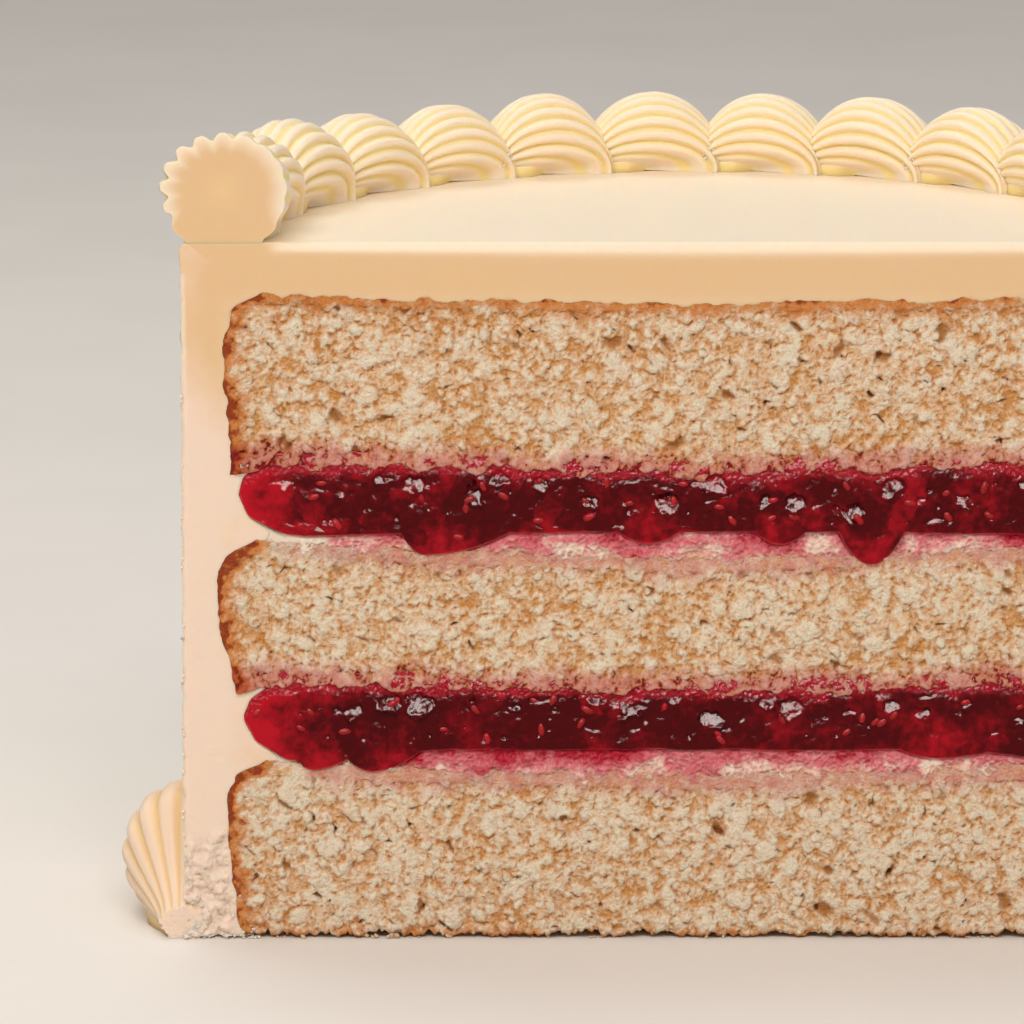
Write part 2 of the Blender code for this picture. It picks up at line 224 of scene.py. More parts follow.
class SpongeSettings(bpy.types.PropertyGroup):
    """Sizes and colours of the crumb."""
    step: length("Step", "Distance between the points of the crumb's surface", 0.00021, 0.001)
    grain: length("Grain", "Width of the common small bubbles", 0.0011)
    fine_grain: length("Fine grain", "Width of the smallest bubbles", 0.00072)
    grain_depth: length("Grain depth", "Depth of the common small bubbles", 0.00062)
    bubble: length("Bubble", "Radius of the largest bubbles", 0.0021)
    crumb: colour("Crumb", "Colour of the crumb", srgb(246, 204, 162))
    # Partly painted highlight: the pale colour goes where the tone is high, on raised torn walls
    # and flakes as well as on paler bits of crumb
    pale: colour("Pale crumb", "Colour of torn walls and flakes", srgb(255, 234, 208))
    # Painted shade: hollow, hole and pore colours darken the bubbles, darkest in the deepest
    # pores
    hollow: colour("Hollow", "Colour in the small bubbles", srgb(226, 160, 88))
    hole: colour("Hole", "Colour in a large bubble", srgb(200, 138, 76))
    pore: colour("Pore", "Colour in the deepest pores", srgb(156, 96, 50))
    crust: colour("Crust", "Colour of the baked edge", srgb(228, 148, 80))
    dark_crust: colour("Dark crust", "Colour where the edge baked darkest", srgb(166, 72, 34))
    stain: colour("Stain", "Tint of crumb that took up jam", srgb(230, 180, 186))
    soaked: colour("Soaked", "Colour of crumb that is full of jam", srgb(150, 22, 28))
    pink: colour("Pink", "Colour of crumb under the cream", srgb(226, 152, 138))


class JamSettings(bpy.types.PropertyGroup):
    """Sizes and colours of the jam and its seeds."""
    bulge: length("Bulge", "How far the jam stands out of the cut", 0.0007)
    lump: length("Lump", "Width of a piece of fruit", 0.0031)
    lip: length("Lip", "Height of the smooth lip along the foot", 0.0016)
    deep: colour("Deep jam", "Colour where the jam is thick", srgb(84, 3, 8))
    thin: colour("Thin jam", "Colour where light comes through", srgb(192, 14, 34))
    foamy: colour("Foamy jam", "Colour of its bubbly upper edge", srgb(182, 26, 44))
    seed_length: length("Seed length", "Length of a berry seed", 0.0023)
    seed_width: length("Seed width", "Width of a berry seed", 0.0013)
    seeds: bpy.props.IntProperty(
        name="Seeds", description="Seeds that show in each jam", default=34, min=0)
    seed: colour("Seed", "Colour of the seeds", srgb(158, 24, 20))
    gleams: bpy.props.IntProperty(
        name="Gleams", description="Faces of fruit that catch the light", default=22, min=0)


class CreamSettings(bpy.types.PropertyGroup):
    """Colours of the thin cream under the jam."""
    cream: colour("Cream", "Colour of clean cream", srgb(250, 228, 208))
    pink: colour("Pink", "Colour where jam has mixed in", srgb(222, 116, 124))
    streak: colour("Streak", "Colour of streaks of jam", srgb(190, 16, 48))
    low: colour("Low", "Colour where it thins out over the crumb", srgb(236, 184, 156))


class IcingSettings(bpy.types.PropertyGroup):
    """Sizes and colours of the icing coat and the piping."""
    icing: colour("Icing", "Colour of the icing", srgb(248, 230, 206))
    # Partly painted shade: the tan of cut icing is partly its own colour and partly painted shade
    # with a warm glow of light through it
    inside: colour("Inside", "Colour of smooth cut icing", srgb(234, 200, 156))
    torn: colour("Torn", "Colour of icing where the cut tore it", srgb(247, 223, 204))
    # Painted glow: golden light through the icing, painted deep between the ridges of the piping
    groove: colour("Groove", "Colour that shows deep between ridges", srgb(254, 228, 164))
    # Painted shade: the piping round the foot is the same icing, given darker, pinker colours
    # because it lies in shade
    low: colour("Low", "Colour of the piping round the foot", srgb(238, 214, 190))
    low_groove_glow: colour("Low groove", "Its colour deep between ridges", srgb(236, 202, 152))
    tear: length("Tear", "Depth of the tears low on the cut", 0.0015)
    groove_depth: share("Groove depth", "Depth of a groove as a share of the shell", 0.13)


class StageSettings(bpy.types.PropertyGroup):
    """The floor, the lights and the camera."""
    floor: colour("Floor", "Colour of the floor", srgb(236, 232, 226))
    distance: length("Distance", "From the cut to the camera", 1.0, 3.0)
    sky: bpy.props.FloatProperty(
        name="Sky", description="Strength of the even light from all round", default=0.42,
        min=0.0)
    lens: bpy.props.FloatProperty(
        name="Lens", description="Focal length in millimetres", default=227.14, min=10.0,
        subtype="DISTANCE_CAMERA", unit="CAMERA")
    pitch: bpy.props.FloatProperty(
        name="Pitch", description="How far the camera looks down", default=0.2147,
        subtype="ANGLE", unit="ROTATION")


GROUPS = {
    "cake_sponge": SpongeSettings,
    "cake_jam": JamSettings,
    "cake_cream": CreamSettings,
    "cake_icing": IcingSettings,
    "cake_stage": StageSettings,
}


# Patterns over a flat surface, in millimetres

def hashed(across, along, seed):
    """A repeatable number from 0 to 1 for each cell of a lattice."""
    mixed = (across * 374761393 + along * 668265263 + seed * 2246822519) & 0xFFFFFFFF
    mixed = ((mixed ^ (mixed >> 13)) * 1274126177) & 0xFFFFFFFF
    return (mixed ^ (mixed >> 16)) / 4294967295.0


def soft_noise(x, z, size, seed):
    """Soft noise from -1 to 1 whose swells are about `size` wide."""
    x, z = np.broadcast_arrays(x / size, z / size)
    column = np.floor(x).astype(np.int64)
    row = np.floor(z).astype(np.int64)
    across = x - column
    up = z - row
    across = across * across * (3 - 2 * across)
    up = up * up * (3 - 2 * up)
    low = hashed(column, row, seed) * (1 - across) + hashed(column + 1, row, seed) * across
    high = (hashed(column, row + 1, seed) * (1 - across)
            + hashed(column + 1, row + 1, seed) * across)
    return 2 * (low * (1 - up) + high * up) - 1


def layered_noise(x, z, size, seed, layers=3):
    """Soft noise with finer and weaker noise on it."""
    total = 0.0
    for layer in range(layers):
        turn = 0.5 + 0.9 * layer
        across = x * math.cos(turn) + z * math.sin(turn)
        up = z * math.cos(turn) - x * math.sin(turn)
        total = total + soft_noise(across, up, size / 2 ** layer, seed + 101 * layer) / 2 ** layer
    return total / (2 - 0.5 ** (layers - 1))


def nearby(x, z):
    """The cells of a lattice round each point, one after the other."""
    column = np.floor(x).astype(np.int64)
    row = np.floor(z).astype(np.int64)
    for step_x in (-1, 0, 1):
        for step_z in (-1, 0, 1):
            yield column + step_x, row + step_z


def cells(x, z, size, seed):
    """For each point the two nearest of scattered middles: both distances, and a number."""
    x, z = np.broadcast_arrays(x / size, z / size)
    nearest = np.full(x.shape, 9.0)
    second = np.full(x.shape, 9.0)
    number = np.zeros(x.shape)
    for column, row in nearby(x, z):
        away_x = x - column - hashed(column, row, seed)
        away_z = z - row - hashed(column, row, seed + 1)
        distance = np.hypot(away_x, away_z)
        closer = distance < nearest
        second = np.minimum(second, np.where(closer, nearest, distance))
        nearest = np.where(closer, distance, nearest)
        number = np.where(closer, hashed(column, row, seed + 2), number)
    return nearest, second, number


def bubbles(x, z, size, seed):
    """Bubbles about `size` wide, wall to wall: 0 on a wall and 1 in a bubble's middle."""
    nearest, second, _ = cells(x, z, size, seed)
    return 1 - (1 - np.clip((second - nearest) / 0.6, 0, 1)) ** 2


def spots(x, z, pitch, share_kept, radii, seed):
    """Scattered uneven spots: 1 at a spot's middle, falling to 0 at its rim."""
    x, z = np.broadcast_arrays(x, z)
    depth = np.zeros(x.shape)
    for column, row in nearby(x / pitch, z / pitch):
        away_x = x - (column + 0.1 + 0.8 * hashed(column, row, seed)) * pitch
        away_z = z - (row + 0.1 + 0.8 * hashed(column, row, seed + 1)) * pitch
        size = hashed(column, row, seed + 2) ** 2
        radius = radii[0] + (radii[1] - radii[0]) * size
        turn = math.pi * hashed(column, row, seed + 3)
        squeeze = 1 + 0.9 * hashed(column, row, seed + 4)
        along = away_x * np.cos(turn) + away_z * np.sin(turn)
        beside = (away_z * np.cos(turn) - away_x * np.sin(turn)) * squeeze
        reach = (along ** 2 + beside ** 2) / radius ** 2
        kept = hashed(column, row, seed + 5) < share_kept
        depth = np.maximum(depth, np.where(kept, np.clip(1 - reach, 0, 1), 0.0))
    return depth


def ease(value):
    """Smooth step from 0 to 1."""
    value = np.clip(value, 0.0, 1.0)
    return value * value * (3 - 2 * value)


def softened(values, times=1):
    """Average each value of a grid with its neighbours."""
    for _ in range(times):
        wide = np.pad(values, 1, mode="edge")
        values = (wide[1:-1, 1:-1] * 4 + wide[:-2, 1:-1] + wide[2:, 1:-1]
                  + wide[1:-1, :-2] + wide[1:-1, 2:]) / 8
    return values


def smoothed(line, reach):
    """Average each value of a line with `reach` neighbours to both sides."""
    kernel = np.hanning(2 * reach + 3)[1:-1]
    return np.convolve(np.pad(line, reach, mode="edge"), kernel / kernel.sum(), mode="valid")


# Solids

class Solid:
    """Points and faces of one closed piece, gathered block by block."""

    def __init__(self):
        self.blocks = []
        self.masks = {}
        self.total = 0
        self.faces = []

    def add(self, x, y, z, **masks):
        """Add points and give their numbers, in the shape of the arrays."""
        x, y, z = np.broadcast_arrays(x, y, z)
        numbers = np.arange(self.total, self.total + x.size).reshape(x.shape)
        self.blocks.append(np.stack((x, y, z), axis=-1).reshape(-1, 3))
        for name, values in masks.items():
            values = np.broadcast_to(values, x.shape).ravel()
            self.masks.setdefault(name, []).append((self.total, values))
        self.total += x.size
        return numbers

    def at(self, numbers):
        """Where points are."""
        return np.concatenate(self.blocks)[numbers]

    def sheet(self, numbers):
        """Faces between the rows and columns of a grid of points."""
        corners = (numbers[:-1, :-1], numbers[:-1, 1:], numbers[1:, 1:], numbers[1:, :-1])
        self.faces.append(np.stack(corners, axis=-1).reshape(-1, 4))

    def join(self, fine, coarse):
        """Close the strip between an edge and one that has fewer points."""
        many = (len(fine) - 1) // (len(coarse) - 1)
        columns = [coarse[:-1], coarse[1:]]
        for step in range(many, -1, -1):
            columns.append(fine[step:len(fine) - many + step:many])
        self.faces.append(np.stack(columns, axis=-1))

    def cap(self, numbers):
        """One face inside a loop of points."""
        self.faces.append(np.asarray(numbers).reshape(1, -1))

    def fan(self, middle, numbers):
        """Triangles from a point to an edge."""
        middles = np.full(len(numbers) - 1, middle)
        self.faces.append(np.stack((middles, numbers[:-1], numbers[1:]), axis=-1))

    def mesh(self, name):
        """The finished mesh, with every mask as an attribute of its points."""
        points = np.concatenate(self.blocks) + (AXIS_X, CUT_Y, 0.0)
        sizes = np.concatenate([np.full(len(block), block.shape[1]) for block in self.faces])
        corners = np.concatenate([block.ravel() for block in self.faces])
        made = bpy.data.meshes.new(name)
        made.vertices.add(len(points))
        made.vertices.foreach_set("co", (points * MM).ravel())
        made.loops.add(len(corners))
        made.loops.foreach_set("vertex_index", corners)
        made.polygons.add(len(sizes))
        made.polygons.foreach_set("loop_start", np.cumsum(sizes) - sizes)
        made.update(calc_edges=True)
        made.validate()
        bm = bmesh.new()
        bm.from_mesh(made)
        bmesh.ops.recalc_face_normals(bm, faces=bm.faces)
        bm.to_mesh(made)
        bm.free()
        for mask, parts in self.masks.items():
            values = np.zeros(len(points), dtype=np.float32)
            for start, part in parts:
                values[start:start + len(part)] = part
            attribute = made.attributes.new(mask, "FLOAT", "POINT")
            attribute.data.foreach_set("value", values)
        made.shade_smooth()
        return made


def place(mesh, material, slot, *nodes):
    """Show a mesh as a piece of the cake, in place of the solids that it stands for."""
    mesh.materials.append(material)
    piece = bpy.data.objects.new(mesh.name, mesh)
    bpy.context.scene.collection.objects.link(piece)
    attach(piece, BODY)
    if nodes:
        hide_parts(*nodes)


def slices_back(solid, edge, points, radius, first_depth):
    """Carry an edge back to the cake's round side, in ever narrower rings of points.

    `points` are the places of every few points of the edge, and the first ring lies
    `first_depth` behind the cut.
    """
    rings = []
    for turn in np.linspace(math.asin(first_depth / radius), math.radians(BACK_TURN), SLICES):
        ring = solid.add(points[:, 0] * math.cos(turn), radius * math.sin(turn), points[:, 2])
        if rings:
            solid.sheet(np.stack((rings[-1], ring)))
        else:
            solid.join(edge, ring)
        rings.append(ring)
    return rings


def add_layer(solid, front, radius, back):
    """Close a layer behind its front, where it is a little less high than the front.

    `back` is the depth at which that begins, and how much it is set in at top and foot.
    """
    first_depth, inset = back
    solid.sheet(front)

    # The loop round the front, with its first point repeated at the end
    edge = np.concatenate((
        front[0, :-1], front[:-1, -1], front[-1, :0:-1], front[:0:-1, 0], front[0, :1]))
    points = solid.at(edge)[::JOINED]
    middle = (points[:, 2].min() + points[:, 2].max()) / 2
    points[:, 2] -= inset * np.sign(points[:, 2] - middle)
    rings = slices_back(solid, edge, points, radius, first_depth)
    solid.cap(rings[-1][:-1])


# Outlines of the layers, read from their solids

def solid_points(node):
    """The corners of a solid, in millimetres round the cake's axis."""
    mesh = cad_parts[node].data
    points = np.empty(len(mesh.vertices) * 3)
    mesh.vertices.foreach_get("co", points)
    return points.reshape(-1, 3) / MM - (AXIS_X, CUT_Y, 0.0)


def turned_profile(node):
    """The radius and height of each corner of the outline that a layer is turned from."""
    points = solid_points(node)
    radius = np.hypot(points[:, 0], points[:, 1])
    azimuth = np.degrees(np.arctan2(points[:, 1], points[:, 0]))
    kept = ((azimuth > 90) & (azimuth < 95) & (radius > 5)) | (radius < 0.5)
    corners = np.column_stack((radius, points[:, 2]))[kept]
    return np.unique(np.round(corners, 1), axis=0)


class Outline:
    """The foot, top and side of a layer where it is cut."""

    def __init__(self, node):
        corners = turned_profile(node)
        self.low = corners[:, 1].min()
        self.high = corners[:, 1].max()
        self.radius = corners[:, 0].max()
        middle = (self.low + self.high) / 2
        self.tops = corners[corners[:, 1] > middle]
        self.feet = corners[corners[:, 1] <= middle]
        sides = corners[corners[:, 0] > 0.8 * self.radius]
        self.sides = sides[np.argsort(sides[:, 1])]

    def top(self, x):
        """Height of the layer's top at a place across the cut."""
        return np.interp(np.abs(x), self.tops[:, 0], self.tops[:, 1])

    def foot(self, x):
        """Height of the layer's foot at a place across the cut."""
        return np.interp(np.abs(x), self.feet[:, 0], self.feet[:, 1])

    def side(self, z):
        """How far the layer reaches from the middle at a height."""
        return np.interp(z, self.sides[:, 1], self.sides[:, 0])

    def from_side(self, x, z):
        """Distance in from the layer's side."""
        level = np.clip(z, self.low + 0.1, self.high - 0.1)
        return self.side(level) - np.abs(x)

    def from_top(self, x, z):
        """Distance down from the layer's top, which goes on flat over its round shoulder."""
        return self.top(np.minimum(np.abs(x), 0.9 * self.radius)) - z

    def from_foot(self, x, z):
        """Distance up from the layer's foot, which goes on flat to its side."""
        return z - self.foot(np.minimum(np.abs(x), 0.9 * self.radius))


def steps_over(distance, step):
    """How many steps cover a distance, in whole groups of points that are joined."""
    return int(distance / step / JOINED) * JOINED


def front_grid(outline, steps, foot, top, rounding, square_top=False):
    """Rows and columns over a layer's cut, with the heights of its foot and top below them.

    `steps` are the distances between points, across and up. `foot` and `top` give heights for
    places across the cut, and `rounding` is how strongly the side is smoothed. With
    `square_top` the side keeps its widest reach up to the top.
    """
    across = steps_over(2 * outline.radius, steps[0])
    up = steps_over(outline.high - outline.low, steps[1])
    share_up = np.linspace(0, 1, up + 1)
    level = outline.low + share_up * (outline.high - outline.low)
    side = smoothed(outline.side(level), rounding)
    if square_top:
        side = np.maximum.accumulate(side)
    x = np.linspace(-1, 1, across + 1)[None, :] * side[:, None]
    low = foot(np.clip(x, -side[0], side[0]))
    high = top(np.clip(x, -side[-1], side[-1]))
    z = low + (high - low) * share_up[:, None]
    return x, z, low, high


def rim_distance(x, z, low, high, outline):
    """Distance from a layer's edge at the cut."""
    beside = np.maximum(outline.from_side(x, z), 0.0)
    return np.minimum(np.minimum(z - low, high - z), beside)


# Finishes

class Finish:
    """A Principled material and the nodes that lead to it."""

    def __init__(self, name, **values):
        self.material = bpy.data.materials.new(name)
        self.material.use_nodes = True
        tree = self.material.node_tree
        self.nodes = tree.nodes
        self.links = tree.links
        self.shader = self.nodes["Principled BSDF"]
        self.coordinates = self.nodes.new("ShaderNodeTexCoord").outputs["Object"]
        for socket, value in values.items():
            self.shader.inputs[socket.replace("_", " ")].default_value = value

    def feed(self, socket, source):
        """Lead a node's result to a socket, or set a plain value."""
        if isinstance(source, bpy.types.NodeSocket):
            self.links.new(source, socket)
        elif isinstance(source, (int, float)):
            socket.default_value = source
        else:
            socket.default_value = (*source, 1.0)[:len(socket.default_value)]

    def mask(self, name):
        """A mask that the mesh carries."""
        node = self.nodes.new("ShaderNodeAttribute")
        node.attribute_name = name
        return node.outputs["Fac"]

    def noise(self, size, detail=3.0):
        """Noise whose swells are about `size` millimetres wide."""
        node = self.nodes.new("ShaderNodeTexNoise")
        node.inputs["Scale"].default_value = 1 / (size * MM)
        node.inputs["Detail"].default_value = detail
        self.links.new(self.coordinates, node.inputs["Vector"])
        return node.outputs["Fac"]

    def grains(self, size):
        """Distance from the middles of grains about `size` millimetres wide."""
        node = self.nodes.new("ShaderNodeTexVoronoi")
        node.inputs["Scale"].default_value = 1 / (size * MM)
        self.links.new(self.coordinates, node.inputs["Vector"])
        return node.outputs["Distance"]

    def between(self, source, low, high):
        """0 below `low`, 1 above `high` and a smooth step between."""
        node = self.nodes.new("ShaderNodeMapRange")
        node.interpolation_type = "SMOOTHSTEP"
        node.inputs["From Min"].default_value = low
        node.inputs["From Max"].default_value = high
        self.links.new(source, node.inputs["Value"])
        return node.outputs["Result"]

    def combine(self, first, second, operation="ADD"):
        """Two values added, or joined by another operation."""
        node = self.nodes.new("ShaderNodeMath")
        node.operation = operation
        self.feed(node.inputs[0], first)
        self.feed(node.inputs[1], second)
        return node.outputs["Value"]

    def swing(self, size, detail, strength=1.0):
        """Noise that swings to both sides of 0."""
        centred = self.combine(self.noise(size, detail), -0.5)
        return self.combine(centred, strength, "MULTIPLY")

    def mottled(self, name, *noises):
        """A mask made uneven by two noises, each given as its size and detail."""
        first, second = (self.noise(*noise) for noise in noises)
        mottle = self.combine(first, second)
        return self.combine(self.mask(name), self.combine(mottle, -1.0))

    def blend(self, factor, first, second, kind="MIX"):
        """The first colour where the factor is 0 and the second where it is 1."""
        node = self.nodes.new("ShaderNodeMix")
        node.data_type = "RGBA"
        node.blend_type = kind
        self.feed(node.inputs[0], factor)
        self.feed(node.inputs[6], first)
        self.feed(node.inputs[7], second)
        return node.outputs[2]

    def relief(self, height, depth, before=None, where=None):
        """Fine relief, `depth` millimetres deep, everywhere or where a mask is 1."""
        node = self.nodes.new("ShaderNodeBump")
        node.inputs["Distance"].default_value = depth * MM
        self.links.new(height, node.inputs["Height"])
        if where is not None:
            self.links.new(where, node.inputs["Strength"])
        if before is not None:
            self.links.new(before, node.inputs["Normal"])
        return node.outputs["Normal"]

    def finish(self, colour_source, normal=None, roughness=None):
        """Lead colour, relief and gloss to the shader."""
        self.feed(self.shader.inputs["Base Color"], colour_source)
        if normal is not None:
            self.feed(self.shader.inputs["Normal"], normal)
        if roughness is not None:
            self.feed(self.shader.inputs["Roughness"], roughness)
        return self.material


def crumb_finish(name="crumb"):
    """Sponge: torn pale walls with painted highlight, bubbles painted ochre as shade, a baked
    edge and jam taken up near the filling.
    """
    look = bpy.context.scene.cake_sponge
    made = Finish(name, Roughness=0.8, Specular_IOR_Level=0.2, Subsurface_Weight=0.4,
                  Subsurface_Radius=(1.0, 0.7, 0.5), Subsurface_Scale=0.8 * MM)
    patches = made.combine(made.swing(0.4, 4.0, 0.8), made.swing(6.0, 3.0, 0.8))
    # Painted shade and highlight: a low tone takes the ochre of the bubbles and a high one the
    # pale of raised walls; the hole and pore masks paint large bubbles darker still
    tone = made.combine(made.mask("tone"), patches)
    base = made.blend(made.between(tone, -0.1, 0.75), look.hollow, look.crumb)
    base = made.blend(made.between(tone, 0.65, 1.25), base, look.pale)
    base = made.blend(made.between(made.mask("hole"), 0.1, 1.0), base, look.hole)
    base = made.blend(made.between(made.mask("pore"), 0.3, 0.9), base, look.pore)
    crust = made.mottled("crust", (1.3, 3.0), (4.0, 3.0))
    base = made.blend(made.between(crust, 0.1, 0.9), base, look.crust)
    base = made.blend(made.between(crust, 0.9, 1.25), base, look.dark_crust)
    uneven = made.swing(2.2, 4.0, 1.3)
    stain = made.combine(made.mask("stain"), uneven)
    base = made.blend(made.between(stain, 0.05, 0.95), base, look.stain, "MULTIPLY")
    soaked = made.between(made.combine(stain, tone, "SUBTRACT"), 0.3, 0.9)
    base = made.blend(soaked, base, look.soaked)
    pink = made.combine(made.mask("pink"), uneven)
    base = made.blend(made.between(pink, 0.35, 1.4), base, look.pink)
    roughness = made.combine(0.8, made.combine(soaked, 0.35, "MULTIPLY"), "SUBTRACT")
    grain = made.relief(made.noise(0.5, 4.0), 0.55)
    return made.finish(base, made.relief(made.noise(0.25), 0.15, grain), roughness)


def jam_finish():
    """Jam: glossy, near black where thick and bright red where light comes through."""
    look = bpy.context.scene.cake_jam
    made = Finish("jam", Roughness=0.12, Subsurface_Weight=0.3,
                  Subsurface_Radius=(1.0, 0.08, 0.08), Subsurface_Scale=1.2 * MM,
                  Coat_Weight=0.8, Coat_Roughness=0.1)
    thin = made.mottled("thin", (1.3, 4.0), (5.0, 2.0))
    base = made.blend(made.between(thin, 0.0, 1.1), look.deep, look.thin)
    foam = made.combine(made.mask("foam"), made.swing(1.5, 4.0))
    base = made.blend(made.between(foam, 0.3, 1.0), base, look.foamy)
    froth = made.relief(made.noise(0.5), 0.35, where=made.mask("foam"))
    return made.finish(base, made.relief(made.noise(1.0, 4.0), 0.2, froth))


def seed_finish():
    """Seeds: woody, pitted and wet with jam."""
    look = bpy.context.scene.cake_jam
    made = Finish("seed", Roughness=0.4, Coat_Weight=0.3, Coat_Roughness=0.1,
                  Subsurface_Weight=0.2, Subsurface_Radius=(1.0, 0.3, 0.2),
                  Subsurface_Scale=0.4 * MM)
    base = made.blend(made.between(made.noise(2.0), 0.35, 0.7), look.seed, look.thin)
    return made.finish(base, made.relief(made.grains(0.3), 0.06))


def cream_finish():
    """Cream: soft, bubbly and stained by the jam over it."""
    look = bpy.context.scene.cake_cream
    made = Finish("cream", Roughness=0.4, Subsurface_Weight=0.5,
                  Subsurface_Radius=(1.0, 0.5, 0.4), Subsurface_Scale=1.0 * MM)
    pink = made.mottled("pink", (4.5, 3.0), (1.1, 3.0))
    base = made.blend(made.between(pink, 0.0, 0.6), look.cream, look.pink)
    base = made.blend(made.between(pink, 0.62, 1.1), base, look.streak)
    base = made.blend(made.between(made.mask("low"), 0.0, 1.0), base, look.low)
    return made.finish(base, made.relief(made.noise(0.5, 4.0), 0.3))


def icing_finish(name, spread, outside, groove):
    """Buttercream: pale outside; tan where cut, partly painted shade; a painted golden glow deep
    between ridges.
    """
    look = bpy.context.scene.cake_icing
    made = Finish(name, Roughness=0.5, Specular_IOR_Level=0.3, Subsurface_Weight=0.8,
                  Subsurface_Radius=(1.0, 0.66, 0.36), Subsurface_Scale=spread * MM)
    # Partly painted shade: the cut mask gives the tan of cut icing, partly its own colour and
    # partly painted shade and glow
    base = made.blend(made.between(made.mask("cut"), 0.0, 1.0), outside, look.inside)
    torn = made.combine(made.mask("torn"), made.swing(9.0, 3.0))
    base = made.blend(made.between(torn, 0.1, 0.9), base, look.torn)
    # Painted glow: golden light through the icing, painted deep between ridges
    base = made.blend(made.between(made.mask("groove"), 0.2, 1.0), base, groove)
    ragged = made.relief(made.noise(0.8, 4.0), 0.4, where=made.mask("rough"))
    smooth = made.relief(made.noise(1.3), 0.05, ragged)
    return made.finish(base, made.relief(made.noise(0.35, 2.0), 0.035, smooth))


def floor_finish():
    """Floor: even, with the faintest mottling."""
    light = tuple(bpy.context.scene.cake_stage.floor)
    darker = tuple(channel * 0.97 for channel in light)
    made = Finish("floor", Roughness=0.9)
    return made.finish(made.blend(made.between(made.noise(60.0), 0.3, 0.7), light, darker))


# Sponge

def crumb_relief(x, z):
    """How far crumb stands out of the cut, its tone, its large bubbles and its dark pores.

    Small bubbles lie wall to wall, larger ones are scattered among them, and the walls
    between are torn into uneven flakes. Beside the crumb's own uneven paleness, the tone carries
    painted shade, low in the bubbles, and painted highlight, high on raised walls and flakes;
    the large bubbles and pores are painted darker as shade.
    """
    look = bpy.context.scene.cake_sponge
    grain = look.grain / MM
    largest = look.bubble / MM
    warp_x = x + 0.5 * layered_noise(x, z, 2.4, 11, 2) + 0.12 * soft_noise(x, z, 0.8, 12)
    warp_z = z + 0.5 * layered_noise(x, z, 2.4, 13, 2) + 0.12 * soft_noise(x, z, 0.8, 14)
    swell = 0.3 * layered_noise(x, z, 7.0, 15)
    flake = spots(warp_x, warp_z, 4.6, 0.7, (0.6, 2.6), 16)
    flake = ease(1.5 * flake * (1 + 1.2 * layered_noise(x, z, 1.0, 17)))
    torn = layered_noise(x, z, 0.8, 25, 2)
    open_part = 0.3 * layered_noise(x, z, 4.5, 27) - 0.35 * flake
    ragged = layered_noise(warp_x, warp_z, grain, 19, 4)
    cell = bubbles(warp_x, warp_z, grain, 18) - 0.6
    common = ease((0.9 * ragged + 0.5 * cell + open_part + 0.3) / 0.8)
    small = bubbles(warp_x, warp_z, look.fine_grain / MM, 22)
    bent = warp_x - x + 0.9 * layered_noise(x, z, 1.6, 35, 3)
    hole = 0.0
    depth = 0.0
    # Large bubbles: sunk, and marked in the hole mask, which paints them darker as shade
    for size, pitch, kept, sunk, seed in LARGE_BUBBLES:
        radii = (0.35 * size * largest, size * largest)
        reach = spots(x + bent, z - bent, pitch, kept, radii, seed)
        bowl = np.sqrt(reach) * ease(reach * 4)
        depth = np.maximum(depth, bowl * sunk)
        hole = np.maximum(hole, bowl * (0.55 + 0.45 * size))
    smooth_bottom = 1 - 0.6 * ease(hole * 1.6)
    foam = look.grain_depth / MM * (0.85 * common + 0.25 * small)
    # Painted shade: pores deep in large bubbles are sunk further and painted darkest
    pore = ease(4 * (hole - 0.5)) * ease(2.6 * layered_noise(x, z, 2.3, 65) - 0.3)
    out = swell + 0.35 * flake + (0.25 * torn - foam) * smooth_bottom - depth - 0.5 * pore
    # Painted shade and highlight: the tone falls in the bubbles and rises on torn walls and
    # flakes
    tone = 1.08 + 0.2 * flake + (0.5 * torn - 0.9 * common - 0.15 * small) * smooth_bottom
    return out, tone, hole, pore


def crust_band(x, z, outline, top_crust, foot_crust):
    """Where the crumb is baked brown: at the side, and thinly along the top or foot."""
    ragged = 1.1 * layered_noise(x, z, 4.0, 61) + 1.3 * layered_noise(x, z, 1.1, 62, 4)
    side = 1.05 - (outline.from_side(x, z) + 1.3 * ragged) / 3.0
    top = top_crust * (1.0 - (outline.from_top(x, z) + ragged) / 3.2)
    foot = foot_crust * (1.0 - (outline.from_foot(x, z) + ragged) / 2.4)
    return np.clip(np.maximum(side, np.maximum(top, foot)), 0.0, 1.2)


def sponge_grid(name, outline):
    """A grid over a sponge's cut, between its torn foot and its torn top."""
    number = SPONGES.index(name)
    seed = SEEDS[name]

    def foot(x):
        if number == 0:
            clump = 1.6 * np.abs(layered_noise(x, 0.0, 4.0, seed + 2, 3))
            return 0.02 + clump + 1.5 * np.abs(layered_noise(x, 4.0, 1.1, seed + 3, 4))
        ragged = layered_noise(x, 0.0, 2.8, seed, 4)
        at_side = ease((np.abs(x) / outline.radius - 0.9) / 0.08)
        return outline.foot(x) - 0.8 + 1.7 * ragged * (1 - 0.7 * at_side) - 1.3 * at_side

    def top(x):
        ragged = 0.9 * layered_noise(x, 9.0, 2.4, seed + 5, 4)
        return outline.top(x) + ragged + TOPS_RAISED[number]

    step = bpy.context.scene.cake_sponge.step / MM
    return front_grid(outline, (step, step), foot, top, rounding=4)


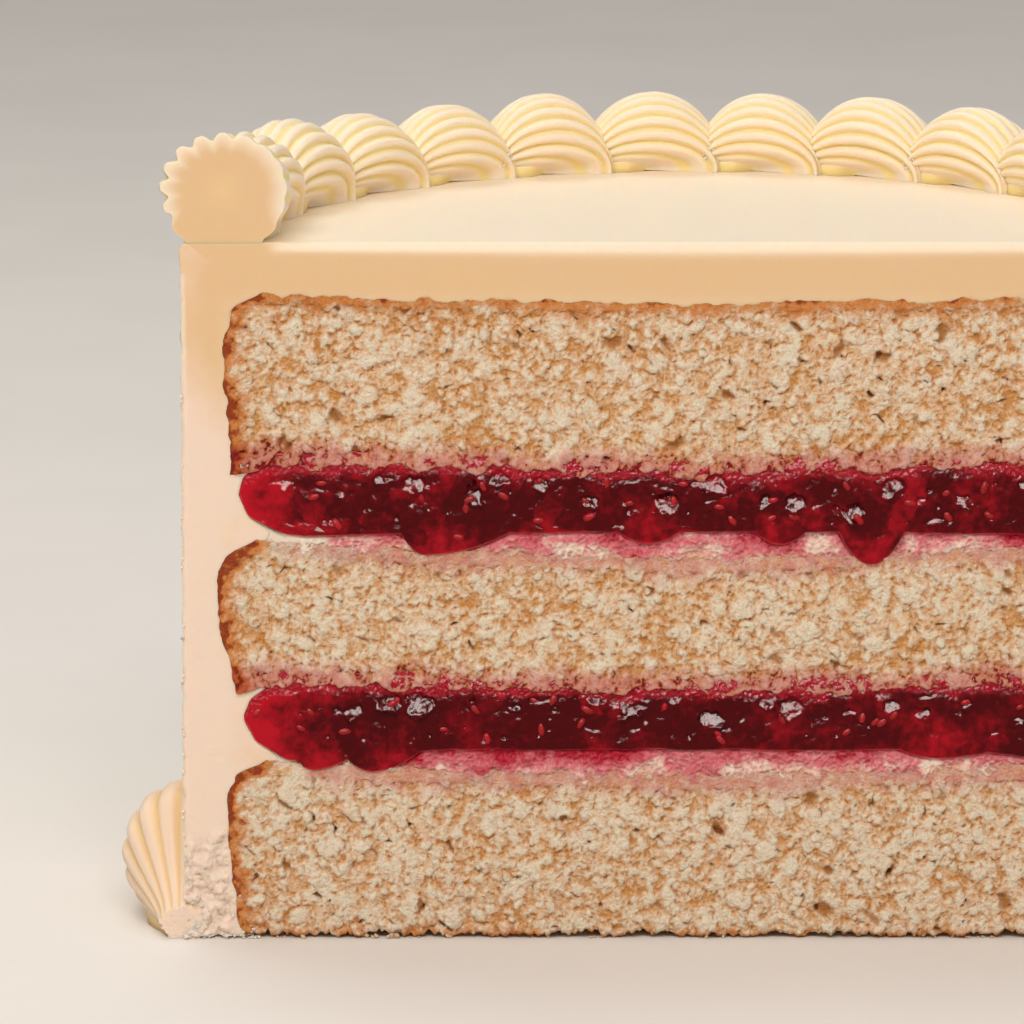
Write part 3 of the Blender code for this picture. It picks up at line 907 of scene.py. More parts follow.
def make_sponge(name, material):
    """One sponge: a torn, porous front on a solid that fills the icing behind it."""
    outline = Outline(name)
    number = SPONGES.index(name)
    on_floor = number == 0
    seed = SEEDS[name]
    x, z, low, high = sponge_grid(name, outline)
    rim = rim_distance(x, z, low, high, outline)
    fade = ease(rim / 0.8)
    lumps = 0.75 * layered_noise(np.sign(x) * 7, z, 2.6, seed + 8, 5)
    spread = 1 + (0.8 + lumps) * ease((np.abs(x) / outline.radius - 0.9) / 0.1) / outline.radius

    # Torn crumb, coarser along its edges
    # The tone, hole and pore masks carry painted shade in the bubbles and painted highlight on
    # raised walls
    out, tone, hole, pore = crumb_relief(x * spread, z + 200 * number)
    crusty = (1 - ease(rim / 3.0)) * layered_noise(x, z, 1.0, seed + 7, 4)
    out = np.clip(out, -0.5 - 2.0 * ease(rim / 2.0), 0.8) + crusty
    out = 0.6 * out + 0.4 * softened(out)
    slope_z, slope_x = np.gradient(softened(out, 2))

    # It hangs over the jam below, and draws back where the icing holds it
    hang = ease(1 - (z - low) / 2.2) * ease(rim / 0.5 + 0.3) * (not on_floor)
    rim_depth = 0.7 * on_floor * ease(1 - (z - low) / 1.2)
    y = rim_depth * (1 - fade) * (1 - hang) - out * (0.3 + 0.7 * fade) - 0.6 * hang - 0.12
    iced = np.minimum(outline.from_side(x * spread, z), outline.top(x) - z)
    ledge = 0.8 * ease((iced - 0.45) / 0.9) + 1.5 * ease(iced - 1.9)
    y = np.minimum(y, ledge - 0.05 + 0.8 * rim_depth)
    x = x * spread - np.clip(0.5 * slope_x, -0.1, 0.1) * fade
    z = z - np.clip(0.5 * slope_z, -0.1, 0.1) * fade

    # Colour taken up from the jam below and the cream above
    uneven = 1.6 * layered_noise(x, z, 8.0, seed + 9, 3)
    stain = np.clip(1.0 - (outline.from_foot(x, z) + uneven) / 4.6, 0, 1) * (number > 0)
    pink = np.clip(1.0 - (outline.from_top(x, z) + uneven) / 5.0, 0, 1) * (number < 2)
    pink = pink * ease((outline.radius - np.abs(x)) / 16.0)
    crust = crust_band(x, z, outline, *CRUSTS[number])

    solid = Solid()
    # Painted light: the crumb's tone is lifted most on the lowest sponge, where the lamps reach
    # least
    front = solid.add(x, np.maximum(y, -PROUD), np.maximum(z, 0.0), tone=tone + PAINTED_LIGHT[number],
                      hole=hole, pore=pore, crust=crust, stain=stain, pink=pink)
    add_layer(solid, front, outline.radius, SPONGE_BACK)
    place(solid.mesh(name + "_crumb"), material, "sponge", name)


# Jam and cream

def drip_shape(x, layer):
    """How far the jam's foot is drawn down by its drips, as (depth, share of a drip)."""
    outline = Outline(layer)
    depth = 0.0
    inside = 0.0
    for centre, lowest, left, right in DRIPS[layer]:
        width = np.where(x < centre, left, right)
        reach = np.abs(x - centre) / (width / 2)
        bell = np.clip(1 - reach ** 2, 0, 1)
        depth = np.maximum(depth, bell * (outline.foot(centre) - lowest))
        inside = np.maximum(inside, bell)
    return depth, inside


def fruit_lumps(x, z, seed):
    """Lumps of fruit in the jam, and the number from 0 to 1 of the lump at each point."""
    size = bpy.context.scene.cake_jam.lump / MM
    warp_x = x + 0.8 * layered_noise(x, z, 3.0, seed + 5)
    warp_z = z + 0.8 * layered_noise(x, z, 3.0, seed + 6)
    distance, _, number = cells(warp_x, warp_z, size, seed + 7)
    fine_distance, _, fine_number = cells(warp_x, warp_z, size / 2.3, seed + 12)
    lump = 0.5 - 1.3 * distance ** 2 + 0.6 * (number - 0.5)
    lump = lump + 0.25 * (1 - 1.4 * fine_distance ** 2) * (fine_number > 0.35)
    return softened(np.clip(lump, -0.8, 0.6), 2), number


def fruit_faces(out, x, z, low, high, seed):
    """Lay wet faces of fruit over the jam, tilted up so that they catch the light."""
    look = bpy.context.scene.cake_jam
    draw = np.random.default_rng(seed)
    reach_x = np.abs(x).max()
    pitch = 2 * reach_x / look.gleams
    ripple = layered_noise(x, z, 1.1, seed + 1, 3)
    edge = layered_noise(x, z, 1.7, seed + 2, 4)
    for number in range(look.gleams):
        centre_x = -reach_x + pitch * (number + draw.uniform(0.25, 0.75))
        share_up = draw.uniform(0.4, 0.72)
        wide = draw.uniform(1.0, 2.6)
        tall = wide * draw.uniform(0.6, 0.95)
        slope = math.tan(math.radians(draw.uniform(25.0, 33.0)))
        turn = draw.uniform(-0.25, 0.25)
        if abs(centre_x) >= reach_x - 8:
            continue
        column = np.abs(x[0] - centre_x).argmin()
        centre_z = low[0, column] + share_up * (high[0, column] - low[0, column])
        across = (x - centre_x) * math.cos(turn) + (z - centre_z) * math.sin(turn)
        above = (z - centre_z) * math.cos(turn) - (x - centre_x) * math.sin(turn)
        inside = ease(3.5 * (1 - (across / wide) ** 2 - (above / tall) ** 2 + 1.6 * edge))
        face = 0.35 - above * slope + 0.26 * ripple
        out = out + (face - out) * inside
    return out


def jam_front(name):
    """The jam's cut surface: x, y, z and masks, over a grid."""
    look = bpy.context.scene.cake_jam
    outline = Outline(name)
    seed = SEEDS[name]

    def foot(x):
        depth, _ = drip_shape(x, name)
        return outline.foot(x) - depth + 0.3 * layered_noise(x, 0.0, 7.0, seed)

    def top(x):
        ragged = 0.6 * layered_noise(x, 0.0, 5.0, seed + 1, 5)
        return outline.top(x) + ragged + 1.9

    x, z, low, high = front_grid(outline, JAM_STEPS, foot, top, rounding=16, square_top=True)
    x = x * (1 + 0.9 / outline.radius)
    _, drip = drip_shape(x, name)
    above_foot = z - low
    end = ease(1 - (outline.radius - np.abs(x)) / 13.0)
    lip = np.exp(-(above_foot / (look.lip / MM)) ** 2)
    lip = np.maximum(lip, drip * ease(1.25 - above_foot / 5.0))

    # Lumps and wet faces of fruit, smooth at the lip and at the ends, with froth on top
    bulge = look.bulge / MM
    lump, number = fruit_lumps(x, z, seed)
    calm = np.clip(np.maximum(lip, 0.7 * end), 0, 1)
    out = bulge * 0.5 + 0.6 * lump * (1 - calm) + 0.5 * lip * bulge
    bubble = spots(x, z, 4.0, 0.45, (0.3, 0.7), seed + 20)
    out = out - 0.35 * ease(bubble * 1.2) * (1 - calm)
    out = fruit_faces(out, x, z, low, high, seed + 30)
    foam = ease(1 - (outline.top(x) - z + 1.5 * layered_noise(x, z, 5.0, seed + 40)) / 3.0)
    froth = bubbles(x, z, 0.9, seed + 41)
    out = out + (0.3 - out) * 0.6 * foam - 0.4 * foam * froth

    # Rounded to its edge, and drawn in under the crumb
    rim = rim_distance(x, z, low, high + 9.0, outline)
    round_off = np.sqrt(np.clip(1 - (1 - np.clip(rim / 0.9, 0, 1)) ** 2, 0, 1))
    under_crumb = ease(1 - (high - z) / 2.2)
    y = -np.clip(out, -1.5, PROUD) * round_off + 0.3 * (1 - round_off)
    y = y + (0.5 - y) * under_crumb

    thin = 0.95 * end + 0.8 * np.exp(-(above_foot / 0.4) ** 2)
    thin = thin + 0.45 * drip * ease(1.3 - above_foot / 6.0)
    thin = thin + 0.3 * (number - 0.5) + 0.45 * ease(above_foot / (high - low) * 3.0 - 1.9)
    thin = thin + 0.35 * layered_noise(x, z, 7.0, seed + 22) + 0.16
    return x, y, z, {"thin": np.clip(thin, 0.0, 1.2), "foam": foam}


def make_jam(name, material):
    """One jam: a wet, lumpy front with drips, on the solid behind it."""
    x, y, z, masks = jam_front(name)
    solid = Solid()
    front = solid.add(x, y, z, **masks)
    add_layer(solid, front, Outline(name).radius, JAM_BACK)
    place(solid.mesh(name + "_fruit"), material, "jam", name)


def make_cream(name, jam, material):
    """The thin cream between a jam and the sponge below it."""
    outline = Outline(name)
    above = Outline(jam)
    seed = SEEDS[name]
    reach = outline.radius + 3.5
    across = steps_over(2 * reach, CREAM_STEP)
    up = steps_over(outline.high - outline.low + 3.0, CREAM_STEP)
    x = np.linspace(-reach, reach, across + 1)[None, :]
    low = outline.foot(x) - 0.8 + 2.2 * layered_noise(x, 0.0, 4.0, seed, 5)
    high = np.maximum(above.foot(x) + 1.0, low + 0.3)
    z = low + (high - low) * np.linspace(0, 1, up + 1)[:, None]

    lump = layered_noise(x, z, 1.8, seed + 2, 5)
    pits = bubbles(x + 0.6 * lump, z + 0.6 * lump, 1.0, seed + 3)
    inside = ease((outline.radius - np.abs(x)) / 8.0)
    out = (0.3 + 0.8 * lump - 0.5 * pits) * inside - 0.05
    fade = ease((z - low) / 1.8) * ease((reach - np.abs(x)) / 2.0)
    y = -np.minimum(out, 0.8) * fade + 0.45 * (1 - fade)
    drip, _ = drip_shape(x, jam)
    over_jam = z - above.foot(x) + drip
    y = np.maximum(y, ease(over_jam / 1.5 + 1) + 0.8 * ease(over_jam / 0.6) - 0.9)

    near_jam = ease(1.1 - (above.foot(x) - z) / 2.6)
    clean = ease((np.abs(x) - 0.86 * outline.radius) / 6.0)
    pink = 0.36 + 0.4 * near_jam + 0.8 * layered_noise(x, z, 7.0, seed + 9) - 1.3 * clean
    thinning = ease(1.1 - (z - low + 1.2 * lump) / 2.8) * (1 - clean)
    solid = Solid()
    front = solid.add(x, y, z, pink=pink, low=thinning)
    add_layer(solid, front, reach, CREAM_BACK)
    place(solid.mesh(name + "_smear"), material, "cream", name)


# Seeds and crumbs

def scatter(name, draw, grains, unevenness, steps, sides):
    """One mesh of many small closed grains, each given as its middle, direction and sizes."""
    solid = Solid()
    turn = np.linspace(0, math.tau, sides, endpoint=False)
    for centre, direction, sizes in grains:
        axis = np.asarray(direction, float) / np.linalg.norm(direction)
        side = np.cross(axis, (0.0, 1.0, 0.2))
        side /= np.linalg.norm(side)
        over = np.cross(axis, side)
        rows = []
        for step in range(1, steps):
            angle = math.pi * step / steps
            reach = math.sin(angle) ** 0.8 * (1 + draw.uniform(-1, 1, sides) * unevenness)
            points = (-math.cos(angle) * sizes[0] / 2 * axis
                      + np.outer(np.cos(turn) * reach * sizes[1] / 2, side)
                      + np.outer(np.sin(turn) * reach * sizes[2] / 2, over)) + centre
            row = solid.add(points[:, 0], points[:, 1], np.maximum(points[:, 2], 0.0),
                            tone=draw.uniform(0.2, 1.0))
            rows.append(np.append(row, row[0]))
        solid.sheet(np.stack(rows))
        half = axis * sizes[0] / 2
        for end, row in ((centre - half, rows[0]), (centre + half, rows[-1])):
            tip = solid.add(end[0], end[1], max(end[2], 0.0), tone=0.5)
            solid.fan(int(tip), row)
    return solid.mesh(name)


def make_seeds(material):
    """Berry seeds that show in the jam, half sunk in its surface."""
    look = bpy.context.scene.cake_jam
    draw = np.random.default_rng(SEEDS["seeds"])
    long = look.seed_length / MM
    wide = look.seed_width / MM
    seeds = []
    for name in JAMS:
        x, y, z, _ = jam_front(name)
        rows, columns = x.shape
        for _ in range(look.seeds):
            row = int(rows * draw.uniform(0.14, 0.8))
            column = int(columns * draw.uniform(0.02, 0.98))
            depth = max(y[row, column] + 0.32, wide / 2 - PROUD)
            centre = np.array((x[row, column], depth, z[row, column]))
            swell = draw.uniform(0.75, 1.05)
            direction = (draw.normal(0, 1), draw.normal(0, 0.15), draw.normal(0, 0.8))
            seeds.append((centre, direction, (long * swell, wide * swell, wide * swell)))
    mesh = scatter("seeds", draw, seeds, unevenness=0.04, steps=6, sides=8)
    place(mesh, material, "jam")


def make_crumbs(material):
    """Loose crumbs in small heaps along the foot."""
    draw = np.random.default_rng(SEEDS["crumbs"])
    radius = Outline("sponge_bottom").radius
    crumbs = []
    for _ in range(CRUMB_HEAPS):
        heap = draw.uniform(-radius, radius)
        for _ in range(draw.integers(1, 7)):
            swell = 0.35 + 0.9 * draw.uniform() ** 2
            centre = np.array((heap + draw.normal(0, 1.5), draw.uniform(0.1, 0.9), 0.35 * swell))
            direction = draw.normal(0, 1, 3)
            crumbs.append((centre, direction, (swell, swell * 0.8, swell * 0.7)))
    mesh = scatter("crumbs", draw, crumbs, unevenness=0.35, steps=5, sides=7)
    place(mesh, material, "sponge")


def make_icing_bits(material):
    """Grains of icing that the knife left along the edges of the cut, most of them low down."""
    draw = np.random.default_rng(SEEDS["icing_bits"])
    outer = outer_corners()
    bits = []
    for side in (-1, 1):
        for _ in range(ICING_BITS):
            height = 90 * draw.uniform() ** 3
            inward = 12 * draw.uniform() ** 1.5 * (height < 20) + draw.uniform(0.0, 0.3)
            x = side * (np.interp(height, outer[:, 1], outer[:, 0]) - inward)
            swell = 0.25 + 0.55 * draw.uniform() ** 2
            centre = np.array((x, draw.uniform(0.0, 0.2), max(height, 0.4 * swell)))
            direction = draw.normal(0, 1, 3)
            bits.append((centre, direction, (swell, swell * 0.8, swell * 0.6)))
    mesh = scatter("icing_bits", draw, bits, unevenness=0.35, steps=5, sides=7)
    place(mesh, material, "icing")


# Icing

def outer_corners():
    """Corners of the icing's outside, from the foot up."""
    corners = turned_profile("icing")
    outer = corners[corners[:, 0] > OUTER_FROM]
    return outer[np.argsort(outer[:, 1])]


def inner_corners():
    """Corners of the icing's inner side from the foot up, and from there over the crumb."""
    corners = turned_profile("icing")
    corners = corners[corners[:, 0] < OUTER_FROM]
    side = corners[corners[:, 0] > INNER_SIDE_FROM]
    side = side[np.lexsort((side[:, 0], side[:, 1]))]
    top = corners[corners[:, 0] <= INNER_SIDE_FROM]
    return side, top[::-1]


def along(points, shares):
    """Points at given shares of the way along a line of corners."""
    steps = np.hypot(*np.diff(points, axis=0).T)
    way = np.concatenate(((0.0,), np.cumsum(steps))) / steps.sum()
    return np.column_stack([np.interp(shares, way, points[:, i]) for i in (0, 1)])


def rounded(points, shares):
    """The same with the corners rounded off."""
    total = 0.0
    weights = np.hanning(11)[1:-1]
    for weight, shift in zip(weights, np.linspace(-CORNER_REACH, CORNER_REACH, 9)):
        total = total + weight * along(points, np.clip(shares + shift, 0, 1))
    return total / weights.sum()


class Coat:
    """The icing at the cut: an outer line from foot to foot, and an inner line beside it.

    Both run from the left foot over the top to the right foot, point by point. The inner line
    is carried on a little behind the crumb.
    """

    def __init__(self):
        outer = outer_corners()
        side, top = inner_corners()
        inner = np.concatenate((side, top))
        steps = np.hypot(*np.diff(inner, axis=0).T)
        side_share = steps[:len(side) - 1].sum() / steps.sum()
        shares_up = np.linspace(0, 1, SIDE_ROWS * JOINED + 1) * side_share * (1 - EDGE_SHARE)

        # Up the left side, at the heights of the inner line, and round the upper edge
        foot_radius = outer[:, 0].max()
        self.top_radius = outer[outer[:, 1] > ICED_HEIGHT - 0.1][:, 0].max()
        edge = ICED_HEIGHT - outer[outer[:, 1] > 1][:, 1].min()
        self.edge_radius = self.top_radius + edge
        level = smoothed(rounded(inner, shares_up)[:, 1], 12)
        level = (level - level[0]) * level[-1] / (level[-1] - level[0])
        side_top = ICED_HEIGHT - edge
        lift = (side_top - level[-1]) * ease((level / level[-1] - 0.8) / 0.2)
        height = np.maximum.accumulate(level + lift)
        radius = foot_radius + (self.edge_radius - foot_radius) * height / side_top
        round_edge = np.linspace(0, 1, EDGE_ROWS * JOINED + 1)[1:]
        turn = np.linspace(0, math.pi / 2, EDGE_ROWS * JOINED + 1)[1:]
        left_x = -np.concatenate((radius, self.top_radius + edge * np.cos(turn)))
        left_z = np.concatenate((height, ICED_HEIGHT - edge + edge * np.sin(turn)))

        # Over the top, with a point over each column of the wall behind
        self.azimuth = np.linspace(math.pi, 0, COLUMNS + 1)
        self.top_x = self.top_radius * np.cos(self.azimuth)
        columns = np.arange(COLUMNS * JOINED + 1)[1:-1] / JOINED
        over_x = np.interp(columns, np.arange(COLUMNS + 1), self.top_x)
        self.x = np.concatenate((left_x, over_x, -left_x[::-1]))
        self.z = np.concatenate((left_z, np.full(len(over_x), ICED_HEIGHT), left_z[::-1]))
        self.on_side = np.abs(self.x) > self.top_radius

        # The inner line
        beside_edge = side_share * (1 - EDGE_SHARE + EDGE_SHARE * round_edge)
        left = np.concatenate((shares_up, beside_edge))
        over = side_share + (1 - side_share) * (1 - np.abs(over_x) / self.top_radius)
        line = rounded(inner, np.concatenate((left, over, left[::-1])))
        inner_x = line[:, 0] * np.sign(self.x + 1e-9)
        over_top = ease((line[:, 1] - inner[:, 1].max() + 7.0) / 6.0)
        inward = np.stack((np.sign(inner_x) * (1 - over_top), over_top))
        self.inward = inward / np.linalg.norm(inward, axis=0)
        self.inner_x = inner_x - self.inward[0] * HIDDEN
        self.inner_z = line[:, 1] - self.inward[1] * HIDDEN


def under_shells(x, z):
    """Where the cut shells at both ends of the top border stand on the cut icing."""
    sealed = np.zeros(x.shape)
    for node in (TOP_SHELLS[0], TOP_SHELLS[-1]):
        points = solid_points(node)
        foot_x = points[(points[:, 1] < 1) & (points[:, 2] < ICED_HEIGHT + 1)][:, 0]
        beside = np.minimum(x - foot_x.min(), foot_x.max() - x) + 1.5
        sealed = np.maximum(sealed, ease(beside / 5.0 + 0.7) * (z > ICED_HEIGHT - 5))
    return sealed


def cut_face(coat):
    """The cut through the icing, in rows from the outer line to the inner: x, y, z, masks."""
    across = np.linspace(0, 1, FACE_ROWS + 1)[:, None]
    x = coat.x + (coat.inner_x - coat.x) * across
    z = coat.z + (coat.inner_z - coat.z) * across
    width = np.hypot(coat.inner_x - coat.x, coat.inner_z - coat.z)
    from_outer = across * width
    from_crumb = (1 - across) * width - HIDDEN
    sealed = under_shells(x, z)

    # Torn low down and in patches, and rounded to both sides
    tear = coat.on_side * ease((19 + 11 * layered_noise(x, z, 7.0, 903) - z) / 8.0)
    patch = ease(2.2 * spots(x, z, 13.0, 0.55, (2.0, 5.5), 905))
    patch = patch * ease((90 - z) / 20) * coat.on_side
    roughness = np.clip(tear + 0.12 * patch, 0, 1)
    warp = 0.6 * layered_noise(x, z, 2.0, 907)
    lumps = 1.0 - bubbles(x + warp, z - warp, 1.2, 908)
    crumbly = layered_noise(x, z, 1.8, 909, 4) - 0.4 * lumps
    out = 0.05 * layered_noise(x, z, 12.0, 910) + 0.03 * layered_noise(x, z, 3.0, 911)
    beside_crumb = ease((from_crumb - 0.2) / 1.6)
    deepest = bpy.context.scene.cake_icing.tear / MM
    out = out + deepest * roughness * (crumbly + 0.1) * beside_crumb
    round_outer = 1 - ease(from_outer / np.where(coat.on_side, 0.8, 1.7))
    round_inner = 1 - ease((from_crumb + 1.0) / 0.8)
    y = -np.minimum(out, PROUD) * (1 - sealed) + 0.9 * round_inner
    y = y + np.where(coat.on_side, 0.45, 0.8) * round_outer * (1 - sealed)

    outwards = ease(1 - (from_outer - 1.0) / 8.0) * coat.on_side
    torn = 0.75 * ease((100 - z) / 22.0) * coat.on_side + 0.5 * roughness + 0.35 * outwards
    # Partly painted shade: the cut mask paints the cut face tan away from its outer edge, a
    # little less beside the crumb
    soft_edge = ease(from_outer / np.where(coat.on_side, 1.5, 3.6))
    cut = np.maximum(soft_edge, sealed) * (1 - 0.25 * ease(1 - from_crumb / 4.0))

    # A ragged outer edge, jagged and lifted near the foot
    low_tear = ease(1 - coat.z / 24.0)
    near_outer = ease(1 - from_outer / 1.6)
    jag = np.abs(layered_noise(coat.x, coat.z, 1.6, 915, 4)) ** 2 * (0.5 + 1.4 * low_tear)
    nick = near_outer * jag * coat.on_side * 1.3
    ragged = 0.4 * layered_noise(coat.z, coat.x, 2.4, 919, 5) * near_outer * coat.on_side
    x = x + np.sign(x) * (ragged - nick)
    lifted = ease(1 - z / 1.5) * np.abs(layered_noise(x, 3.0, 1.8, 917, 4)) * 0.8
    z = np.clip(z + lifted * low_tear, 0.0, ICED_HEIGHT)
    return x, y, z, {"cut": cut, "torn": np.clip(torn, 0, 1), "rough": roughness}


def add_wall(solid, coat, outline):
    """The icing's wall, from the foot to where the top begins."""
    around = coat.azimuth[None, 1:-1]
    height = coat.z[:SIDE_STEPS + 1:JOINED, None]
    span = around * coat.edge_radius
    swept = 0.1 * layered_noise(span, height * 9.0, 34.0, 921)
    swept = swept + 0.14 * layered_noise(span, height, 16.0, 922)
    swept = swept - 0.5 * ease(spots(span, height, 11.0, 0.3, (0.3, 1.1), 923) * 2)
    fade = ease(np.minimum(height, ICED_HEIGHT - height) / 2.0)
    fade = fade * ease(np.minimum(around, math.pi - around) / 0.05)
    radius = -coat.x[:SIDE_STEPS + 1:JOINED, None] + (swept - 0.15) * fade
    wall = solid.add(radius * np.cos(around), radius * np.sin(around), height)
    solid.sheet(wall)
    solid.join(outline[:SIDE_STEPS + 1], wall[:, 0])
    solid.join(outline[::-1][:SIDE_STEPS + 1], wall[:, -1])
    return wall


def add_top(solid, coat, outline, wall):
    """The icing's top, from the wall's upper edge to the line of the cut."""
    around = coat.azimuth[None, 1:-1]
    x = coat.top_x[None, 1:-1]
    depth = np.linspace(0, 1, TOP_ROWS + 1)[1:-1, None] * coat.top_radius * np.sin(around)
    sag = 0.10 * layered_noise(x, depth, 30.0, 931) - 0.1
    sag = sag + 0.03 * layered_noise(x, depth * 3, 18.0, 932)
    sag = sag * ease(depth / 5) * ease((coat.top_radius * np.sin(around) - depth) / 5)
    top = solid.add(x, np.maximum(depth, 0.7), ICED_HEIGHT + sag)
    solid.sheet(np.concatenate((top, wall[-1:]), axis=0))
    top_line = outline[SIDE_STEPS:-SIDE_STEPS]
    solid.join(top_line, np.concatenate(((top_line[0],), top[0], (top_line[-1],))))
    for end in (0, -1):
        solid.fan(int(top_line[end]), np.append(top[:, end], wall[-1, end]))


def add_hollow(solid, coat, face, wall):
    """The hollow that the layers fill, and the icing's foot."""
    first_depth, inset = HOLLOW_BACK
    points = solid.at(face[-1, ::JOINED])
    points[:, 0] -= inset * coat.inward[0, ::JOINED]
    points[:, 2] = np.maximum(points[:, 2] - inset * coat.inward[1, ::JOINED], 0.0)
    rings = slices_back(solid, face[-1], points, np.abs(points[:, 0]).max(), first_depth)
    solid.cap(rings[-1])
    left = [ring[0] for ring in rings]
    right = [ring[-1] for ring in rings]
    solid.cap(np.concatenate((wall[0], face[:, -1], right, left[::-1], face[::-1, 0])))


def make_icing(material):
    """The coat: a smooth wall and top, and a cut edge that is torn low down."""
    coat = Coat()
    x, y, z, masks = cut_face(coat)
    solid = Solid()
    face = solid.add(x, y, z, **masks)
    solid.sheet(face)
    wall = add_wall(solid, coat, face[0])
    add_top(solid, coat, face[0], wall)
    add_hollow(solid, coat, face, wall)
    place(solid.mesh("icing_coat"), material, "icing", "icing")


# Piped shells

def crest_distance(angle, pivot, run, height):
    """How far a shell's crest is from its pivot, seen at an angle above the piping line."""
    ahead = np.cos(angle)
    up = np.sin(angle)
    semi = SHELL_OVERLAP * run
    offset = pivot - run / 2
    a = (ahead / semi) ** 2 + (up / height) ** 2
    b = -2.0 * offset * ahead / semi ** 2
    c = (offset / semi) ** 2 - 1.0
    return (-b + np.sqrt(b * b - 4 * a * c)) / (2 * a)


def shell_place(node):
    """Head, tail, floor, top, inner and outer radius of a shell, read from its solid."""
    points = solid_points(node)
    azimuth = np.degrees(np.arctan2(points[:, 1], points[:, 0]))
    radius = np.hypot(points[:, 0], points[:, 1])
    return (azimuth.min(), azimuth.max(), points[:, 2].min(), points[:, 2].max(),
            radius.min(), radius.max())


def shell_surface(run, size, groove_depth, seed, taper, fused):
    """Grids of (ahead, out, up) over one shell, and how deep each point is in a groove.

    Every ridge is an arch round the pivot at the shell's tail. Low ridges are flatter than
    high ones, so that they all come down close to the head.
    """
    height, width = size
    pivot = run + 0.5
    reach_turn = math.radians(SHELL_TURN)
    angle = np.radians(np.linspace(*SHELL_ANGLES, SHELL_ROWS))[:, None]
    turn = np.linspace(-reach_turn, reach_turn, TIP_RIDGES * RIDGE_POINTS + 1)[None, :]

    # Ridges, uneven and nicked, open towards the outside
    wander = 0.1 * layered_noise(turn * 4, angle * 3, 1.9, seed + 1)
    groove = (0.5 - 0.5 * np.cos(TIP_RIDGES * turn + wander)) ** 1.8
    uneven = 0.012 * layered_noise(turn * 9, angle * 12, 1.0, seed + 2, 3)
    nick = 0.03 * spots(turn * 9, angle * 9, 1.5, 0.3, (0.15, 0.5), seed + 5)
    open_side = 1 - ease((np.abs(turn) - 1.9) / 0.6)
    open_side = open_side * (1 + 0.3 * layered_noise(turn * 2, angle, 1.3, seed + 6))
    if fused:
        open_side = open_side * (1 - 0.8 * ease((0.1 - turn) / 0.9))
    if taper < 1:
        torn = layered_noise(turn * 6, angle * 2, 1.0, seed + 7, 3)
        uneven = uneven + 0.12 * ease((angle - 1.2) / 0.3) * torn
    ridge = 1.0 - (groove_depth * groove - uneven + nick) * open_side

    # The shell that they cover, from its pivot to its crest and from side to side
    crest = crest_distance(angle, pivot, run, height)
    belly = SHELL_FOOT + (1 - SHELL_FOOT) * np.sin(2 * np.maximum(angle, 0.0)) ** 2
    rise = (1 + ridge * np.cos(turn)) / 2
    flat = 1 - (1 - (1 + np.cos(turn)) / 2) ** 5
    ahead = pivot - crest * flat * np.cos(angle)
    up = crest * rise * np.sin(angle)
    waist = (FUSED_WAIST if fused else SHELL_WAIST) * (np.cos(turn) < 0)
    beside = np.sign(turn) * np.maximum(np.abs(np.sin(turn)), waist)
    out = width / 2 * belly * ridge * beside
    narrowing = 1 - (1 - taper) * ease((ahead / run - TAPER_START) / (1 - TAPER_START))
    return (ahead, out * narrowing, up * narrowing), groove


def bend(head, radius, floor, along_line, out, up):
    """Lay a shell's points round the cake."""
    angle = math.radians(head) + along_line / radius
    reach = radius + out
    return reach * np.cos(angle), reach * np.sin(angle), floor + up


def slice_open(mesh, plane_y, seam, torn):
    """Cut a closed mesh along the cake's cut and close it with a flat, sharp-edged face.

    The face is ivory at its teeth, tan further in and where it meets the icing, up to the
    height `seam`, and `torn` says how torn it is. The tan is partly painted shade, and some
    painted golden glow of the grooves is laid in its middle.
    """
    bm = bmesh.new()
    bm.from_mesh(mesh)
    sliced = bmesh.ops.bisect_plane(
        bm, geom=list(bm.verts) + list(bm.edges) + list(bm.faces),
        plane_co=(0.0, plane_y * MM, 0.0), plane_no=(0, -1, 0), clear_outer=True, dist=1e-7)
    rim = [item for item in sliced["geom_cut"] if isinstance(item, bmesh.types.BMEdge)]
    caps = bmesh.ops.holes_fill(bm, edges=rim)["faces"]
    edges = {edge for cap in caps for edge in cap.edges}
    corners = {corner for cap in caps for corner in cap.verts}
    poked = bmesh.ops.poke(bm, faces=caps)
    # Painted shade and glow: the face's middle takes the tan of cut icing and some golden glow of
    # the grooves
    marks = [(middle, 0.45, 3.0) for middle in poked["verts"]]
    for corner in corners:
        near_seam = min(max((seam - corner.co.z / MM) / 4, 0.0), 1.0)
        marks.append((corner, 0.0, near_seam))
    masks = bm.verts.layers.float
    for vertex, groove, cut in marks:
        vertex[masks["groove"]] = groove
        vertex[masks["cut"]] = cut
        vertex[masks["rough"]] = torn
        vertex[masks["torn"]] = torn
    for face in poked["faces"]:
        face.smooth = False
    for edge in edges:
        edge.smooth = False
    bm.to_mesh(mesh)
    bm.free()


def make_shell(node, border, sector, radius, floor, size, seed, material,
               taper=1.0, fused=False):
    """One piped shell, closed at its foot, and sliced where it crosses the cut."""
    style = BORDERS[border]
    depth = bpy.context.scene.cake_icing.groove_depth * style["grooves"]
    head, tail = sector
    run = math.radians(tail - head) * radius
    (ahead, out, up), groove = shell_surface(run, size, depth, seed, taper, fused)
    sunk = FUSED_SUNK if fused else style["sunk"]
    up = np.maximum(up, sunk)
    up[:, (0, -1)] = sunk
    solid = Solid()
    x, y, z = bend(head, radius, floor, ahead, out, up)
    # The groove depth also paints a golden glow of light through the icing deep between ridges
    skin = solid.add(x, y, z, groove=groove, cut=0.0, rough=0.0, torn=0.0)
    solid.sheet(np.column_stack((skin, skin[:, 0])))
    solid.cap(skin[0, ::-1])
    solid.cap(skin[-1])
    mesh = solid.mesh(node + "_piped")
    if min(vertex.co.y for vertex in mesh.vertices) < CUT_Y * MM:
        slice_open(mesh, CUT_Y + style["slice"], floor + style["seam"], style["torn"])
    place(mesh, material, "piping", node)


